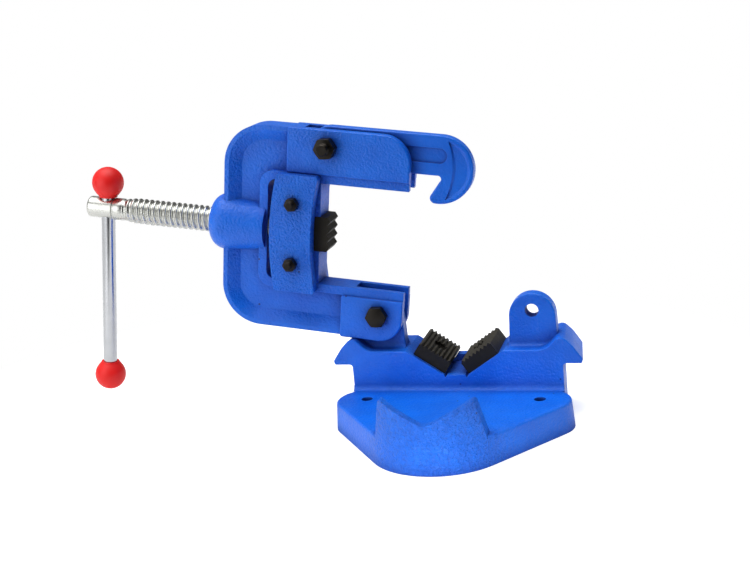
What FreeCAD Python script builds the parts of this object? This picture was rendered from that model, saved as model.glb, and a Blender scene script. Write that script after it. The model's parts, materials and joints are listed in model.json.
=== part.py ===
import FreeCAD, Part
import math
import os

# Yoke pipe vise for pipes up to about 90 mm, shown with its yoke swung open to the left.
# Millimetres and degrees. X runs along the wall, Y from front to back, Z up.
# The origin is midway between the two bench bolt holes, on the underside.
# Everything on the yoke is drawn in the yoke's own view and then swung into place:
# there x is the distance from the hinge pin towards the ends of the arms,
# and z is the distance from the hinge pin across to the latch arm.

Vec = FreeCAD.Vector
UP = Vec(0, 0, 1)
BACK = Vec(0, 1, 0)
RIGHT = Vec(1, 0, 0)
ORIGIN = Vec(0, 0, 0)

# Clearances
SEAT_GAP = 0.3          # between two pieces that move past each other
RUN_FIT = 0.06          # radial, on pins and on the screw
SHORT = 0.01            # lengths under this are no edge

# Base casting: plate
BOLT_SPACING = 168
BOLT_HOLE_R = 5.5
PLATE_HEIGHT = 27
PLATE_CORNER_R = 29.5
PLATE_DRAFT = 2
PLATE_EDGE_R = 2.5
NOSE_R = 65
NOSE_FORWARD = 55       # centre of the round nose, in front of the bolt line

# Base casting: wall with the V seat, and its two wings
HINGE_BEHIND_BOLTS = 48 # plane of the hinge, behind the bolt line
WALL_AHEAD = 22         # of the plane of the hinge
WALL_BEHIND = 32
WALL_HALF_LENGTH = 104
WALL_TAPER = 6          # how much nearer each wing's tip is at the back than in front
WALL_CREST_DROP = 1.5   # how much lower each wing's crest is at the back
WALL_EDGE_R = 1.2
SHOULDER_Z = 66.5
FOOT_COVE_R = 5
V_HALF_WIDTH = 48
V_FLOOR_HALF = 12
V_SLOPE = 34
V_RELIEF_WIDTH = 3
V_RELIEF_DEPTH = 2.5
V_LIP_THICK = 10        # raised lip at the back of the V's floor
V_LIP_HIGH = 7
V_LIP_HALF = 7
WING_TIP_X = 123
WING_TIP_Z = 57
WING_UNDER_Z = 53
WING_CREST_X = 102.3
WING_CREST_R = 7
WING_FLANK_X = 114
WING_FLANK_R = 25
WING_ROOT_R = 18
WING_UNDER_R = 3
WING_TIP_R = 1.3

# Base casting: ears that carry the hinge bolt, and the pin on the other side
EAR_SPACING = 150
EAR_HOLE_Z = 101.5
EAR_THICK = 14
EAR_TOP_R = 22.3
EAR_TOP_DROP = 5.8      # centre of the round top, under the hole
EAR_FOOT_HALF = 23.6
EAR_COVE_R = 4
SPARE_HOLE_R = 6.5

# Base casting: curved rest in front
REST_THICK = 8
REST_FOOT_HALF = 50.5
REST_PEAK_HALF = 43
REST_PEAK_Z = 65
REST_V_Z = 44.5
REST_V_R = 7
REST_PEAK_R = 3

# Lower jaws on the V, and their screws
LOWER_JAW_LONG = 36
LOWER_JAW_DEEP = 50
LOWER_JAW_THICK = 12
LOWER_TOOTH_COUNT = 8
LOWER_TOOTH_HIGH = 2.4
JAW_SCREW_R = 3.5
JAW_SCREW_HEAD_R = 7
JAW_SCREW_SUNK = 1.5
JAW_SCREW_IN_BASE = 12
JAW_SCREW_SLOT = 1.8
JAW_SCREW_SLOT_DEEP = 2
JAW_SCREW_SLOT_TURN = 35

# Yoke casting, in the yoke's own view
YOKE_OPEN_ANGLE = 81.9  # how far the yoke stands open
ARM_END = 24.7
ARM_INSET = 24.8        # hinge line to the near edge of the opening, and the same at the latch
CROWN_INNER = 116
CROWN_OUTER = 161.5
CROWN_INNER_R = 8
HINGE_SIDE_OUT = 24.5   # hinge line to the outside of the hinge arm
LATCH_SIDE_OUT = 27     # latch line to the outside of the latch arm
YOKE_CORNER_R = 40
YOKE_HALF_DEPTH = 14
WEB_HALF_DEPTH = 6
RIM_LAND = 4.5
RIM_SLOPE = 11
RAIL_WIDE = 8.5
RAIL_CORNER_R = 14

# Yoke casting: hinge cheeks and latch cheeks
CHEEK_HALF_DEPTH = 17
CHEEK_GAP = 16
HINGE_CHEEK_BACK = 37.5
HINGE_CHEEK_OUT = 26
HINGE_CHEEK_R = 23.5
CLEVIS_DEPTH = 24.5
LATCH_CHEEK_BACK = 97
LATCH_CHEEK_OUT = 27.7
LATCH_CHEEK_R = 28
LATCH_POCKET_BACK = 82
LATCH_WEB = 7.8         # of the pocket's floor, beyond the rail
LATCH_SLOT_DEPTH = 28
CHEEK_EDGE_R = 1.5
CHEEK_CORNER_R = 2.5

# Yoke casting: boss round the screw
BOSS_END = 176.5
BOSS_INNER_END = 118
BOSS_R = 28
BOSS_INNER_R = 24
BOSS_FULL_TO = 160
BOSS_EDGE_R = 14

# Bolts of the hinge and the latch
PIN_R = 6
PIN_HEAD_FLATS = 19
PIN_HEAD_HIGH = 7.5
PIN_NUT_HIGH = 10
HINGE_BOLT_TIP = 4
LATCH_BOLT_TIP = 7
LATCH_PIVOT_BACK = 57.4
LATCH_PIVOT_OUT = 10.9

# Latch hook
HOOK_THICK = 12
HOOK_TAIL_R = 19.3
HOOK_HEAD_X = 51
HOOK_HEAD_R = 32.8
HOOK_HEAD_END_ANGLE = -96     # where the round of the head passes into the nose
HOOK_NOSE_X = 43.5
HOOK_NOSE_UP = 35       # nose, from the hook's centre line towards the opening
HOOK_THROAT_X = 51.6
HOOK_THROAT_UP = 25
HOOK_THROAT_R = 3
HOOK_THROAT_IN = (1, -2)  # middle of the throat's round, from its inner corner
HOOK_NOSE_LONG = 8      # from the nose's lip to the end of its round
HOOK_LIP = 4            # from the nose's corner to its lip
HOOK_EDGE_R = 1.5
HOOK_PANEL_HALF = 7.2
HOOK_PANEL_DEEP = 2
HOOK_PANEL_END = 57.5
HOOK_PANEL_START = -26
HOOK_RIM = 3.5          # land round the hollow in the head
HOOK_HOLLOW_X = 63.5
HOOK_HOLLOW_ANGLE = 76
HOOK_HOLLOW_DEEP = 1.6
HOOK_HOLLOW_SLOPE = 2.5

# All bolts and nuts
HEX_CHAMFER = 30        # degrees, on the outer corners of heads and nuts
TIP_CHAMFER = 1

# Slide between the arms
SLIDE_FRONT_FACE = 62   # hinge line back to the slide's working face
SLIDE_LONG = 42
SLIDE_PLATE_THICK = 11.7
SLIDE_PLATE_BOW = 6
SLIDE_PLATE_CORNER_R = 3
SLIDE_BOLT_FROM_FACE = 25
SLIDE_BOLT_SPACING = 60
SLIDE_BOLT_R = 4
SLIDE_BOLT_FLATS = 13
SLIDE_BOLT_HEAD_HIGH = 5.3
SLIDE_NUT_HIGH = 6.8
SLIDE_BOLT_TIP = 5

# Upper jaw, with a T foot held in the slide
UPPER_JAW_WIDE = 34.6
UPPER_JAW_PROUD = 7     # from the slide's face to the roots of the teeth
UPPER_TOOTH_COUNT = 4
UPPER_TOOTH_HIGH = 3
UPPER_JAW_SUNK = 7
UPPER_JAW_FOOT_WIDE = 42.6
UPPER_JAW_FOOT_THICK = 5

# Screw
SCREW_R = 13
SCREW_NECK_R = 9
SCREW_NECK_LONG = 8
SCREW_BUTTON_R = 12
SCREW_BUTTON_THICK = 8
THREAD_END = 274        # hinge line back to the outer end of the thread
HEAD_COLLAR_LONG = 11
HEAD_COLLAR_R = 11.2
HEAD_LONG = 27.8
HEAD_R = 10.7
HEAD_EDGE_R = 2
HEAD_GROOVE = 1.2

# Sliding handle
HANDLE_R = 7
HANDLE_FROM_END = 19.8  # cross hole, from the outer end of the screw's head
HANDLE_TRAVEL = 154.5
KNOB_R = 16
KNOB_NECK = 15          # ball centre to the mouth of the neck
KNOB_NECK_R = 9.5
KNOB_MOUTH_R = 1        # rounding of the mouth's rim
KNOB_GRIP = 22          # how far the bar goes into a knob
KNOB_WAIST = 10         # ball centre to where the neck meets the ball

# Sizes that follow
HEAD_COLLAR_END = THREAD_END + HEAD_COLLAR_LONG
HEAD_END = HEAD_COLLAR_END + HEAD_LONG
HANDLE_BACK = HEAD_END - HANDLE_FROM_END
WALL_FRONT_Y = HINGE_BEHIND_BOLTS - WALL_AHEAD
WALL_BACK_Y = HINGE_BEHIND_BOLTS + WALL_BEHIND
LOWER_JAW_Y = WALL_BACK_Y - LOWER_JAW_DEEP / 2
EAR_X = EAR_SPACING / 2
YOKE_TILT = 90 - YOKE_OPEN_ANGLE
V_FLOOR_Z = SHOULDER_Z - (V_HALF_WIDTH - V_FLOOR_HALF) * math.tan(math.radians(V_SLOPE))
SCREW_N = EAR_SPACING / 2
LATCH_N = EAR_SPACING
OPENING_LOW = ARM_INSET
OPENING_HIGH = EAR_SPACING - ARM_INSET
SLIDE_HALF_DEPTH = YOKE_HALF_DEPTH + SEAT_GAP
SLIDE_OUTER_Y = SLIDE_HALF_DEPTH + SLIDE_PLATE_THICK
SLIDE_BACK_FACE = SLIDE_FRONT_FACE + SLIDE_LONG
SLIDE_BOLT_X = -(SLIDE_FRONT_FACE + SLIDE_BOLT_FROM_FACE)
SCREW_AXIS = Vec(0, 0, SCREW_N)
HOOK_N = LATCH_N + LATCH_PIVOT_OUT
PAST = 40               # how far a cutter runs past what it cuts


def rounded_face(corners, place):
    """Flat face with corners (u, v, rounding); place puts a point of it in space."""
    count = len(corners)
    ends = []
    for i in range(count):
        u, v, rounding = corners[i]
        here = Vec(u, v, 0)
        back = Vec(corners[i - 1][0], corners[i - 1][1], 0) - here
        ahead = Vec(corners[(i + 1) % count][0], corners[(i + 1) % count][1], 0) - here
        back.normalize()
        ahead.normalize()
        if rounding == 0:
            ends.append((here, None, here))
            continue
        half = back.getAngle(ahead) / 2
        setback = rounding / math.tan(half)
        inward = back + ahead
        inward.normalize()
        middle = here + inward * (rounding / math.sin(half) - rounding)
        ends.append((here + back * setback, middle, here + ahead * setback))
    edges = []
    for i in range(count):
        leaving = ends[i - 1][2]
        start, middle, end = ends[i]
        if leaving.distanceToPoint(start) > SHORT:
            edges.append(Part.LineSegment(place(leaving), place(start)).toShape())
        if middle is not None:
            edges.append(Part.Arc(place(start), place(middle), place(end)).toShape())
    return Part.Face(Part.Wire(edges))


def prism(corners, y_from, y_to):
    """Solid of an outline drawn in the front view, running from y_from to y_to."""
    face = rounded_face(corners, lambda p: Vec(p.x, y_from, p.y))
    return face.extrude(Vec(0, y_to - y_from, 0))


def slab(x_from, x_to, half_depth, z_from, z_to):
    """Plain block, centred on y = 0."""
    corner = Vec(x_from, -half_depth, z_from)
    return Part.makeBox(x_to - x_from, 2 * half_depth, z_to - z_from, corner)


def turned(corners, base, axis):
    """Solid of revolution with corners (radius, distance along the axis, rounding)."""
    face = rounded_face(corners, lambda p: Vec(p.x, 0, p.y))
    solid = face.revolve(ORIGIN, UP, 360)
    solid.Placement = FreeCAD.Placement(base, FreeCAD.Rotation(UP, axis))
    return solid


def rod(base, axis, radius, length):
    return Part.makeCylinder(radius, length, base, axis)


def hexagon(base, axis, flats, height):
    """Hexagon head or nut standing on base, with its outer corners chamfered."""
    corner_r = flats / math.sqrt(3)
    flat_r = flats / 2
    drop = (corner_r - flat_r) * math.tan(math.radians(HEX_CHAMFER))
    around = [(corner_r * math.cos(math.radians(60 * i)),
               corner_r * math.sin(math.radians(60 * i)), 0) for i in range(6)]
    block = rounded_face(around, lambda p: Vec(p.x, p.y, 0)).extrude(Vec(0, 0, height))
    limit = [(0, 0, 0), (corner_r, 0, 0), (corner_r, height - drop, 0),
             (flat_r, height, 0), (0, height, 0)]
    block = block.common(turned(limit, ORIGIN, UP))
    block.Placement = FreeCAD.Placement(base, FreeCAD.Rotation(UP, axis))
    return block


def mirrored(corners):
    """The same corners on the other side of x = 0, in the order that goes on round."""
    return [(-x, z, rounding) for x, z, rounding in reversed(corners)]


def toothed_edge(u_from, u_to, w_root, height, count):
    """Corners of a row of pointed teeth, without the two ends of the row."""
    pitch = (u_to - u_from) / count
    corners = []
    for i in range(count):
        corners.append((u_from + (i + 0.5) * pitch, w_root + height, 0))
        if i < count - 1:
            corners.append((u_from + (i + 1) * pitch, w_root, 0))
    return corners


def edges_at(solid, wanted):
    """Edges whose ends and middle all satisfy wanted(point)."""
    found = []
    for edge in solid.Edges:
        points = [vertex.Point for vertex in edge.Vertexes] + [edge.CenterOfMass]
        if all(wanted(point) for point in points):
            found.append(edge)
    return found


def near(a, b):
    return abs(a - b) < SHORT


# Base

def plate_wire(draft, z):
    """Plan of the plate: round corners about the bolt holes, round nose, straight back."""
    corner_r = PLATE_CORNER_R + draft
    nose_r = NOSE_R + draft
    half = BOLT_SPACING / 2
    apart = math.hypot(half, NOSE_FORWARD)
    turn = math.atan2(NOSE_FORWARD, half) - math.acos((nose_r - corner_r) / apart)
    between = (math.pi / 2 + turn) / 2

    def on_corner(side, angle):
        return Vec(side * (half + corner_r * math.cos(angle)), corner_r * math.sin(angle), z)

    def on_nose(side, angle):
        return Vec(side * nose_r * math.cos(angle), nose_r * math.sin(angle) - NOSE_FORWARD, z)

    edges = [
        Part.LineSegment(on_corner(-1, math.pi / 2), on_corner(1, math.pi / 2)),
        Part.Arc(on_corner(1, math.pi / 2), on_corner(1, between), on_corner(1, turn)),
        Part.LineSegment(on_corner(1, turn), on_nose(1, turn)),
        Part.Arc(on_nose(1, turn), on_nose(1, -math.pi / 2), on_nose(-1, turn)),
        Part.LineSegment(on_nose(-1, turn), on_corner(-1, turn)),
        Part.Arc(on_corner(-1, turn), on_corner(-1, between), on_corner(-1, math.pi / 2)),
    ]
    return Part.Wire([edge.toShape() for edge in edges])


def plate():
    """Bench plate with drafted sides and a rounded upper edge."""
    solid = Part.makeLoft([plate_wire(PLATE_DRAFT, 0), plate_wire(0, PLATE_HEIGHT)], True, True)

    def upper_rim(point):
        return near(point.z, PLATE_HEIGHT) and point.y < PLATE_CORNER_R + SHORT

    rim = [edge for edge in edges_at(solid, upper_rim)
           if not near(edge.CenterOfMass.y, PLATE_CORNER_R)]
    return solid.makeFillet(PLATE_EDGE_R, rim)


def wing_crest():
    """Centre of the round crest that the opened yoke's hinge cheek comes to rest on."""
    tilt = math.radians(YOKE_TILT)
    below = HINGE_CHEEK_OUT + SEAT_GAP + WING_CREST_R
    beyond = WING_CREST_X - EAR_X
    return Vec(WING_CREST_X, 0, EAR_HOLE_Z - (below - beyond * math.sin(tilt)) / math.cos(tilt))


def wall_face(y, taper, drop):
    """Outline of the wall; taper narrows the wings and drop lowers their crests."""
    crest = wing_crest()
    crest_corner_z = crest.z + WING_CREST_R * math.sqrt(2)
    root_x = WING_CREST_X - (crest_corner_z - SHOULDER_Z)
    flank_z = crest_corner_z - (WING_FLANK_X - WING_CREST_X)
    right = [
        (WALL_HALF_LENGTH, 0, 0),
        (WALL_HALF_LENGTH, WING_UNDER_Z, WING_UNDER_R),
        (WING_TIP_X - WING_TIP_R, WING_UNDER_Z, WING_TIP_R),
        (WING_TIP_X, WING_TIP_Z, WING_TIP_R),
        (WING_FLANK_X, flank_z, WING_FLANK_R),
        (WING_CREST_X, crest_corner_z, WING_CREST_R),
        (root_x, SHOULDER_Z, WING_ROOT_R),
        (V_HALF_WIDTH, SHOULDER_Z, 0),
        (V_FLOOR_HALF, V_FLOOR_Z, 0),
    ]
    narrowed = []
    for x, z, rounding in right:
        wing_share = max(0, x - V_HALF_WIDTH) / (WING_TIP_X - V_HALF_WIDTH)
        crest_share = max(0, z - SHOULDER_Z) / (crest_corner_z - SHOULDER_Z)
        narrowed.append((x - taper * wing_share, z - drop * crest_share, rounding))
    return rounded_face(narrowed + mirrored(narrowed), lambda p: Vec(p.x, y, p.y)).OuterWire


def wall():
    """Upright wall with the V seat in its top and a hooked wing at each end."""
    front = wall_face(WALL_FRONT_Y, 0, 0)
    back = wall_face(WALL_BACK_Y, WALL_TAPER, WALL_CREST_DROP)
    solid = Part.makeLoft([front, back], True, True)

    def front_edge(point):
        return near(point.y, WALL_FRONT_Y) and abs(point.x) > V_HALF_WIDTH - SHORT

    solid = solid.makeFillet(WALL_EDGE_R, edges_at(solid, front_edge))
    lip = [(-V_FLOOR_HALF + SEAT_GAP, V_FLOOR_Z - V_RELIEF_DEPTH, 0),
           (V_FLOOR_HALF - SEAT_GAP, V_FLOOR_Z - V_RELIEF_DEPTH, 0),
           (V_FLOOR_HALF - SEAT_GAP, V_FLOOR_Z, 0), (V_LIP_HALF, V_FLOOR_Z + V_LIP_HIGH, 0),
           (-V_LIP_HALF, V_FLOOR_Z + V_LIP_HIGH, 0), (-V_FLOOR_HALF + SEAT_GAP, V_FLOOR_Z, 0)]
    solid = solid.fuse(prism(lip, WALL_BACK_Y - V_LIP_THICK, WALL_BACK_Y))
    for side in (-1, 1):
        middle = side * (V_FLOOR_HALF - V_RELIEF_WIDTH / 2)
        half = V_RELIEF_WIDTH / 2
        relief = [(middle - half, V_FLOOR_Z + SHORT, 0), (middle, V_FLOOR_Z - V_RELIEF_DEPTH, 0),
                  (middle + half, V_FLOOR_Z + SHORT, 0)]
        solid = solid.cut(prism(relief, WALL_FRONT_Y, WALL_BACK_Y - V_LIP_THICK))
    return solid.removeSplitter()


def cove(x_from, x_to, face_y, floor_z, radius, toward):
    """Hollow fillet along x in the corner of a floor and a face that looks along toward."""
    at = [Vec(x_from, face_y, floor_z), Vec(x_from, face_y + toward * radius, floor_z),
          Vec(x_from, face_y, floor_z + radius)]
    bulge = radius * (1 - math.sqrt(0.5))
    middle = Vec(x_from, face_y + toward * bulge, floor_z + bulge)
    edges = [Part.LineSegment(at[0], at[1]).toShape(), Part.Arc(at[1], middle, at[2]).toShape(),
             Part.LineSegment(at[2], at[0]).toShape()]
    return Part.Face(Part.Wire(edges)).extrude(Vec(x_to - x_from, 0, 0))


def ear(side):
    """Rounded ear with coves along its foot."""
    top = Vec(0, EAR_HOLE_Z - EAR_TOP_DROP, 0)
    foot = Vec(EAR_FOOT_HALF, SHOULDER_Z - WALL_EDGE_R, 0)
    reach = top.distanceToPoint(foot)
    angle = math.atan2(foot.y - top.y, foot.x) + math.acos(EAR_TOP_R / reach)
    touch = Vec(EAR_TOP_R * math.cos(angle), top.y + EAR_TOP_R * math.sin(angle), 0)
    crown = Vec(0, top.y + EAR_TOP_R, 0)
    points = [Vec(side * EAR_X + x, HINGE_BEHIND_BOLTS - EAR_THICK / 2, z) for x, z in
              ((foot.x, foot.y), (touch.x, touch.y), (0, crown.y), (-touch.x, touch.y),
               (-foot.x, foot.y))]
    edges = [Part.LineSegment(points[0], points[1]).toShape(),
             Part.Arc(points[1], points[2], points[3]).toShape(),
             Part.LineSegment(points[3], points[4]).toShape(),
             Part.LineSegment(points[4], points[0]).toShape()]
    solid = Part.Face(Part.Wire(edges)).extrude(Vec(0, EAR_THICK, 0))

    def outline(point):
        return point.z > SHOULDER_Z - WALL_EDGE_R - SHORT and not near(
            point.y, HINGE_BEHIND_BOLTS)

    upper = [edge for edge in edges_at(solid, outline)
             if edge.CenterOfMass.z > SHOULDER_Z + EAR_COVE_R]
    solid = solid.makeFillet(WALL_EDGE_R, upper)
    for toward in (-1, 1):
        face_y = HINGE_BEHIND_BOLTS + toward * EAR_THICK / 2
        solid = solid.fuse(cove(side * EAR_X - EAR_FOOT_HALF, side * EAR_X + EAR_FOOT_HALF,
                                face_y, SHOULDER_Z, EAR_COVE_R, toward))
    return solid


def front_rest():
    """Curved wall on the round nose, with a shallow V in its top to lay a pipe in."""
    from_z = PLATE_HEIGHT / 2
    ring = Part.makeCylinder(NOSE_R, REST_PEAK_Z, Vec(0, -NOSE_FORWARD, from_z))
    ring = ring.cut(Part.makeCylinder(NOSE_R - REST_THICK, REST_PEAK_Z,
                                      Vec(0, -NOSE_FORWARD, from_z)))
    right = [(REST_FOOT_HALF, from_z, 0), (REST_FOOT_HALF, PLATE_HEIGHT, 0),
             (REST_PEAK_HALF, REST_PEAK_Z, REST_PEAK_R)]
    outline = right + [(0, REST_V_Z, REST_V_R)] + mirrored(right)
    return ring.common(prism(outline, -NOSE_FORWARD - NOSE_R - PAST, -NOSE_FORWARD))


def on_slope(side, along, above):
    """Point above the V's slope, in the middle of the lower jaw."""
    tilt = math.radians(V_SLOPE)
    x = V_FLOOR_HALF + along * math.cos(tilt) - above * math.sin(tilt)
    z = V_FLOOR_Z + along * math.sin(tilt) + above * math.cos(tilt)
    return Vec(side * x, LOWER_JAW_Y, z)


def slope_normal(side):
    tilt = math.radians(V_SLOPE)
    return Vec(-side * math.sin(tilt), 0, math.cos(tilt))


def base_casting():
    solid = plate().fuse(wall())
    solid = solid.fuse(cove(-WALL_HALF_LENGTH, WALL_HALF_LENGTH, WALL_FRONT_Y, PLATE_HEIGHT,
                            FOOT_COVE_R, -1))
    solid = solid.fuse(front_rest())
    for side in (-1, 1):
        solid = solid.fuse(ear(side))
    solid = solid.removeSplitter()
    front = Vec(0, WALL_FRONT_Y, EAR_HOLE_Z)
    for side, radius in ((-1, PIN_R + RUN_FIT), (1, SPARE_HOLE_R)):
        solid = solid.cut(rod(front + RIGHT * side * EAR_X, BACK, radius,
                              WALL_BACK_Y - WALL_FRONT_Y))
    for side in (-1, 1):
        hole = Vec(side * BOLT_SPACING / 2, 0, -PAST)
        solid = solid.cut(rod(hole, UP, BOLT_HOLE_R, PLATE_HEIGHT + 2 * PAST))
        tapped = on_slope(side, LOWER_JAW_LONG / 2, -JAW_SCREW_IN_BASE)
        solid = solid.cut(rod(tapped, slope_normal(side), JAW_SCREW_R, JAW_SCREW_IN_BASE))
    return solid


def jaw_screw(side):
    """Countersunk slotted screw, square to the slope of the V."""
    total = JAW_SCREW_IN_BASE + LOWER_JAW_THICK - JAW_SCREW_SUNK
    cone = JAW_SCREW_HEAD_R - JAW_SCREW_R
    profile = [(0, 0, 0), (JAW_SCREW_R, 0, 0), (JAW_SCREW_R, total - cone, 0),
               (JAW_SCREW_HEAD_R, total, 0), (0, total, 0)]
    base = on_slope(side, LOWER_JAW_LONG / 2, -JAW_SCREW_IN_BASE)
    solid = turned(profile, base, slope_normal(side))
    slot = Part.makeBox(JAW_SCREW_SLOT, 2 * JAW_SCREW_HEAD_R, 2 * JAW_SCREW_SLOT_DEEP,
                        Vec(-JAW_SCREW_SLOT / 2, -JAW_SCREW_HEAD_R, -JAW_SCREW_SLOT_DEEP))
    turn = FreeCAD.Rotation(UP, slope_normal(side)) * FreeCAD.Rotation(UP, JAW_SCREW_SLOT_TURN)
    slot.Placement = FreeCAD.Placement(base + slope_normal(side) * total, turn)
    return solid.cut(slot)


def lower_jaw(side):
    """Toothed pad on the V, its teeth running front to back."""
    flat = [(0, 0, 0), (LOWER_JAW_LONG, 0, 0), (LOWER_JAW_LONG, LOWER_JAW_THICK, 0)]
    teeth = toothed_edge(0, LOWER_JAW_LONG, LOWER_JAW_THICK, LOWER_TOOTH_HIGH,
                         LOWER_TOOTH_COUNT)
    outline = flat + teeth[::-1] + [(0, LOWER_JAW_THICK, 0)]
    front = Vec(0, -LOWER_JAW_DEEP / 2, 0)
    face = rounded_face(outline, lambda p: on_slope(side, p.x, p.y) + front)
    solid = face.extrude(Vec(0, LOWER_JAW_DEEP, 0))
    top = LOWER_JAW_THICK - JAW_SCREW_SUNK
    cone = JAW_SCREW_HEAD_R - JAW_SCREW_R
    well = [(0, -PAST, 0), (JAW_SCREW_R, -PAST, 0), (JAW_SCREW_R, top - cone, 0),
            (JAW_SCREW_HEAD_R, top, 0), (JAW_SCREW_HEAD_R, PAST, 0), (0, PAST, 0)]
    return solid.cut(turned(well, on_slope(side, LOWER_JAW_LONG / 2, 0), slope_normal(side)))


# Yoke, in its own view

def swung(shape):
    """Puts a shape drawn in the yoke's view onto the hinge, at the yoke's open angle."""
    hinge = Vec(-EAR_X, HINGE_BEHIND_BOLTS, EAR_HOLE_Z)
    placed = shape.copy()
    placed.Placement = FreeCAD.Placement(
        hinge, FreeCAD.Rotation(BACK, YOKE_TILT)).multiply(placed.Placement)
    return placed


def yoke_pocket(inset, y):
    """Outline of the recess in the yoke's face, inset from the outer edge."""
    low = -HINGE_SIDE_OUT + inset
    high = LATCH_N + LATCH_SIDE_OUT - inset
    left = -CROWN_OUTER + inset
    round_r = YOKE_CORNER_R - inset
    rail = CROWN_INNER + RAIL_WIDE
    corners = [
        (-HINGE_CHEEK_BACK, low, 0),
        (left, low, round_r),
        (left, high, round_r),
        (-LATCH_CHEEK_BACK, high, 0),
        (-LATCH_CHEEK_BACK, OPENING_HIGH + RAIL_WIDE, 0),
        (-rail, OPENING_HIGH + RAIL_WIDE, RAIL_CORNER_R),
        (-rail, OPENING_LOW - RAIL_WIDE, RAIL_CORNER_R),
        (-HINGE_CHEEK_BACK, OPENING_LOW - RAIL_WIDE, 0),
    ]
    return rounded_face(corners, lambda p: Vec(p.x, y, p.y)).OuterWire


def yoke_frame():
    """U frame with a thin web, a sloping outer rim and inner rails for the slide."""
    low = -HINGE_SIDE_OUT
    high = LATCH_N + LATCH_SIDE_OUT
    hinge_end_r = HINGE_CHEEK_R - (HINGE_CHEEK_OUT - HINGE_SIDE_OUT)
    latch_end_r = LATCH_CHEEK_R - (LATCH_CHEEK_OUT - LATCH_SIDE_OUT)
    outer = [(ARM_END, low, hinge_end_r), (-CROWN_OUTER, low, YOKE_CORNER_R),
             (-CROWN_OUTER, high, YOKE_CORNER_R), (ARM_END, high, latch_end_r)]
    solid = prism(outer, -YOKE_HALF_DEPTH, YOKE_HALF_DEPTH)
    opening = [(ARM_END + PAST, OPENING_LOW, 0), (-CROWN_INNER, OPENING_LOW, CROWN_INNER_R),
               (-CROWN_INNER, OPENING_HIGH, CROWN_INNER_R), (ARM_END + PAST, OPENING_HIGH, 0)]
    solid = solid.cut(prism(opening, -PAST, PAST))
    for side in (-1, 1):
        wires = [yoke_pocket(RIM_LAND, side * YOKE_HALF_DEPTH),
                 yoke_pocket(RIM_LAND + RIM_SLOPE, side * WEB_HALF_DEPTH)]
        solid = solid.cut(Part.makeLoft(wires, True, True))
    return solid


def rounded_slab(corners, half_depth, edge_r):
    """Slab of an outline, centred on y = 0, with the edges of its two faces rounded."""
    solid = prism(corners, -half_depth, half_depth)
    edges = edges_at(solid, lambda point: near(abs(point.y), half_depth))
    return solid.makeFillet(edge_r, edges)


def hinge_cheeks():
    """Thick end of the hinge arm, outside the rail."""
    top = OPENING_LOW - RAIL_WIDE
    corners = [(-HINGE_CHEEK_BACK, -HINGE_CHEEK_OUT, CHEEK_CORNER_R),
               (ARM_END, -HINGE_CHEEK_OUT, HINGE_CHEEK_R), (ARM_END, top, 0),
               (-HINGE_CHEEK_BACK, top, CHEEK_CORNER_R)]
    return rounded_slab(corners, CHEEK_HALF_DEPTH, CHEEK_EDGE_R)


def latch_cheeks():
    """Thick end of the latch arm, between which the hook swings."""
    high = LATCH_N + LATCH_CHEEK_OUT
    low = OPENING_HIGH + RAIL_WIDE
    corners = [(-LATCH_CHEEK_BACK, low, CHEEK_CORNER_R), (ARM_END, low, 0),
               (ARM_END, high, LATCH_CHEEK_R), (-LATCH_CHEEK_BACK, high, CHEEK_CORNER_R)]
    return rounded_slab(corners, CHEEK_HALF_DEPTH, CHEEK_EDGE_R)


def screw_boss():
    """Round boss on the crown, wider outside and tapering towards the slide."""
    profile = [(0, -BOSS_END, 0), (BOSS_R, -BOSS_END, BOSS_EDGE_R), (BOSS_R, -BOSS_FULL_TO, 0),
               (BOSS_INNER_R, -BOSS_INNER_END, 0), (0, -BOSS_INNER_END, 0)]
    return turned(profile, SCREW_AXIS, RIGHT)


def yoke_casting():
    solid = yoke_frame().fuse(hinge_cheeks()).fuse(latch_cheeks()).fuse(screw_boss())
    solid = solid.removeSplitter()
    gap = CHEEK_GAP / 2
    below = -HINGE_SIDE_OUT - PAST
    above = LATCH_N + LATCH_SIDE_OUT + PAST
    solid = solid.cut(slab(-CLEVIS_DEPTH, ARM_END + PAST, gap, below, OPENING_LOW + PAST))
    solid = solid.cut(slab(-LATCH_SLOT_DEPTH, ARM_END + PAST, gap, OPENING_HIGH - PAST, above))
    solid = solid.cut(slab(-LATCH_POCKET_BACK, ARM_END, gap,
                           OPENING_HIGH + RAIL_WIDE + LATCH_WEB, above))
    deep = CHEEK_HALF_DEPTH + PAST
    for x, z in ((0, 0), (-LATCH_PIVOT_BACK, HOOK_N)):
        solid = solid.cut(rod(Vec(x, -deep, z), BACK, PIN_R, 2 * deep))
    return solid.cut(rod(Vec(-BOSS_END - PAST, 0, SCREW_N), RIGHT, SCREW_R + RUN_FIT,
                         BOSS_END + PAST))


def cross_bolt(x, z, half_grip, head_side, tip):
    """Hexagon bolt across the yoke; head_side is -1 for a head in front."""
    axis = BACK * head_side
    head = Vec(x, 0, z) + axis * half_grip
    shank_end = half_grip + PIN_NUT_HIGH + tip
    chamfer = TIP_CHAMFER
    shank = turned([(0, 0, 0), (PIN_R - chamfer, 0, 0), (PIN_R, chamfer, 0),
                    (PIN_R, shank_end + half_grip, 0), (0, shank_end + half_grip, 0)],
                   Vec(x, 0, z) - axis * shank_end, axis)
    return shank.fuse(hexagon(head, axis, PIN_HEAD_FLATS, PIN_HEAD_HIGH))


def cross_nut(x, z, half_grip, head_side):
    axis = BACK * -head_side
    seat = Vec(x, 0, z) + axis * half_grip
    nut = hexagon(seat, axis, PIN_HEAD_FLATS, PIN_NUT_HIGH)
    return nut.cut(rod(seat, axis, PIN_R, PIN_NUT_HIGH))


# Latch hook, in the yoke's view

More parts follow.
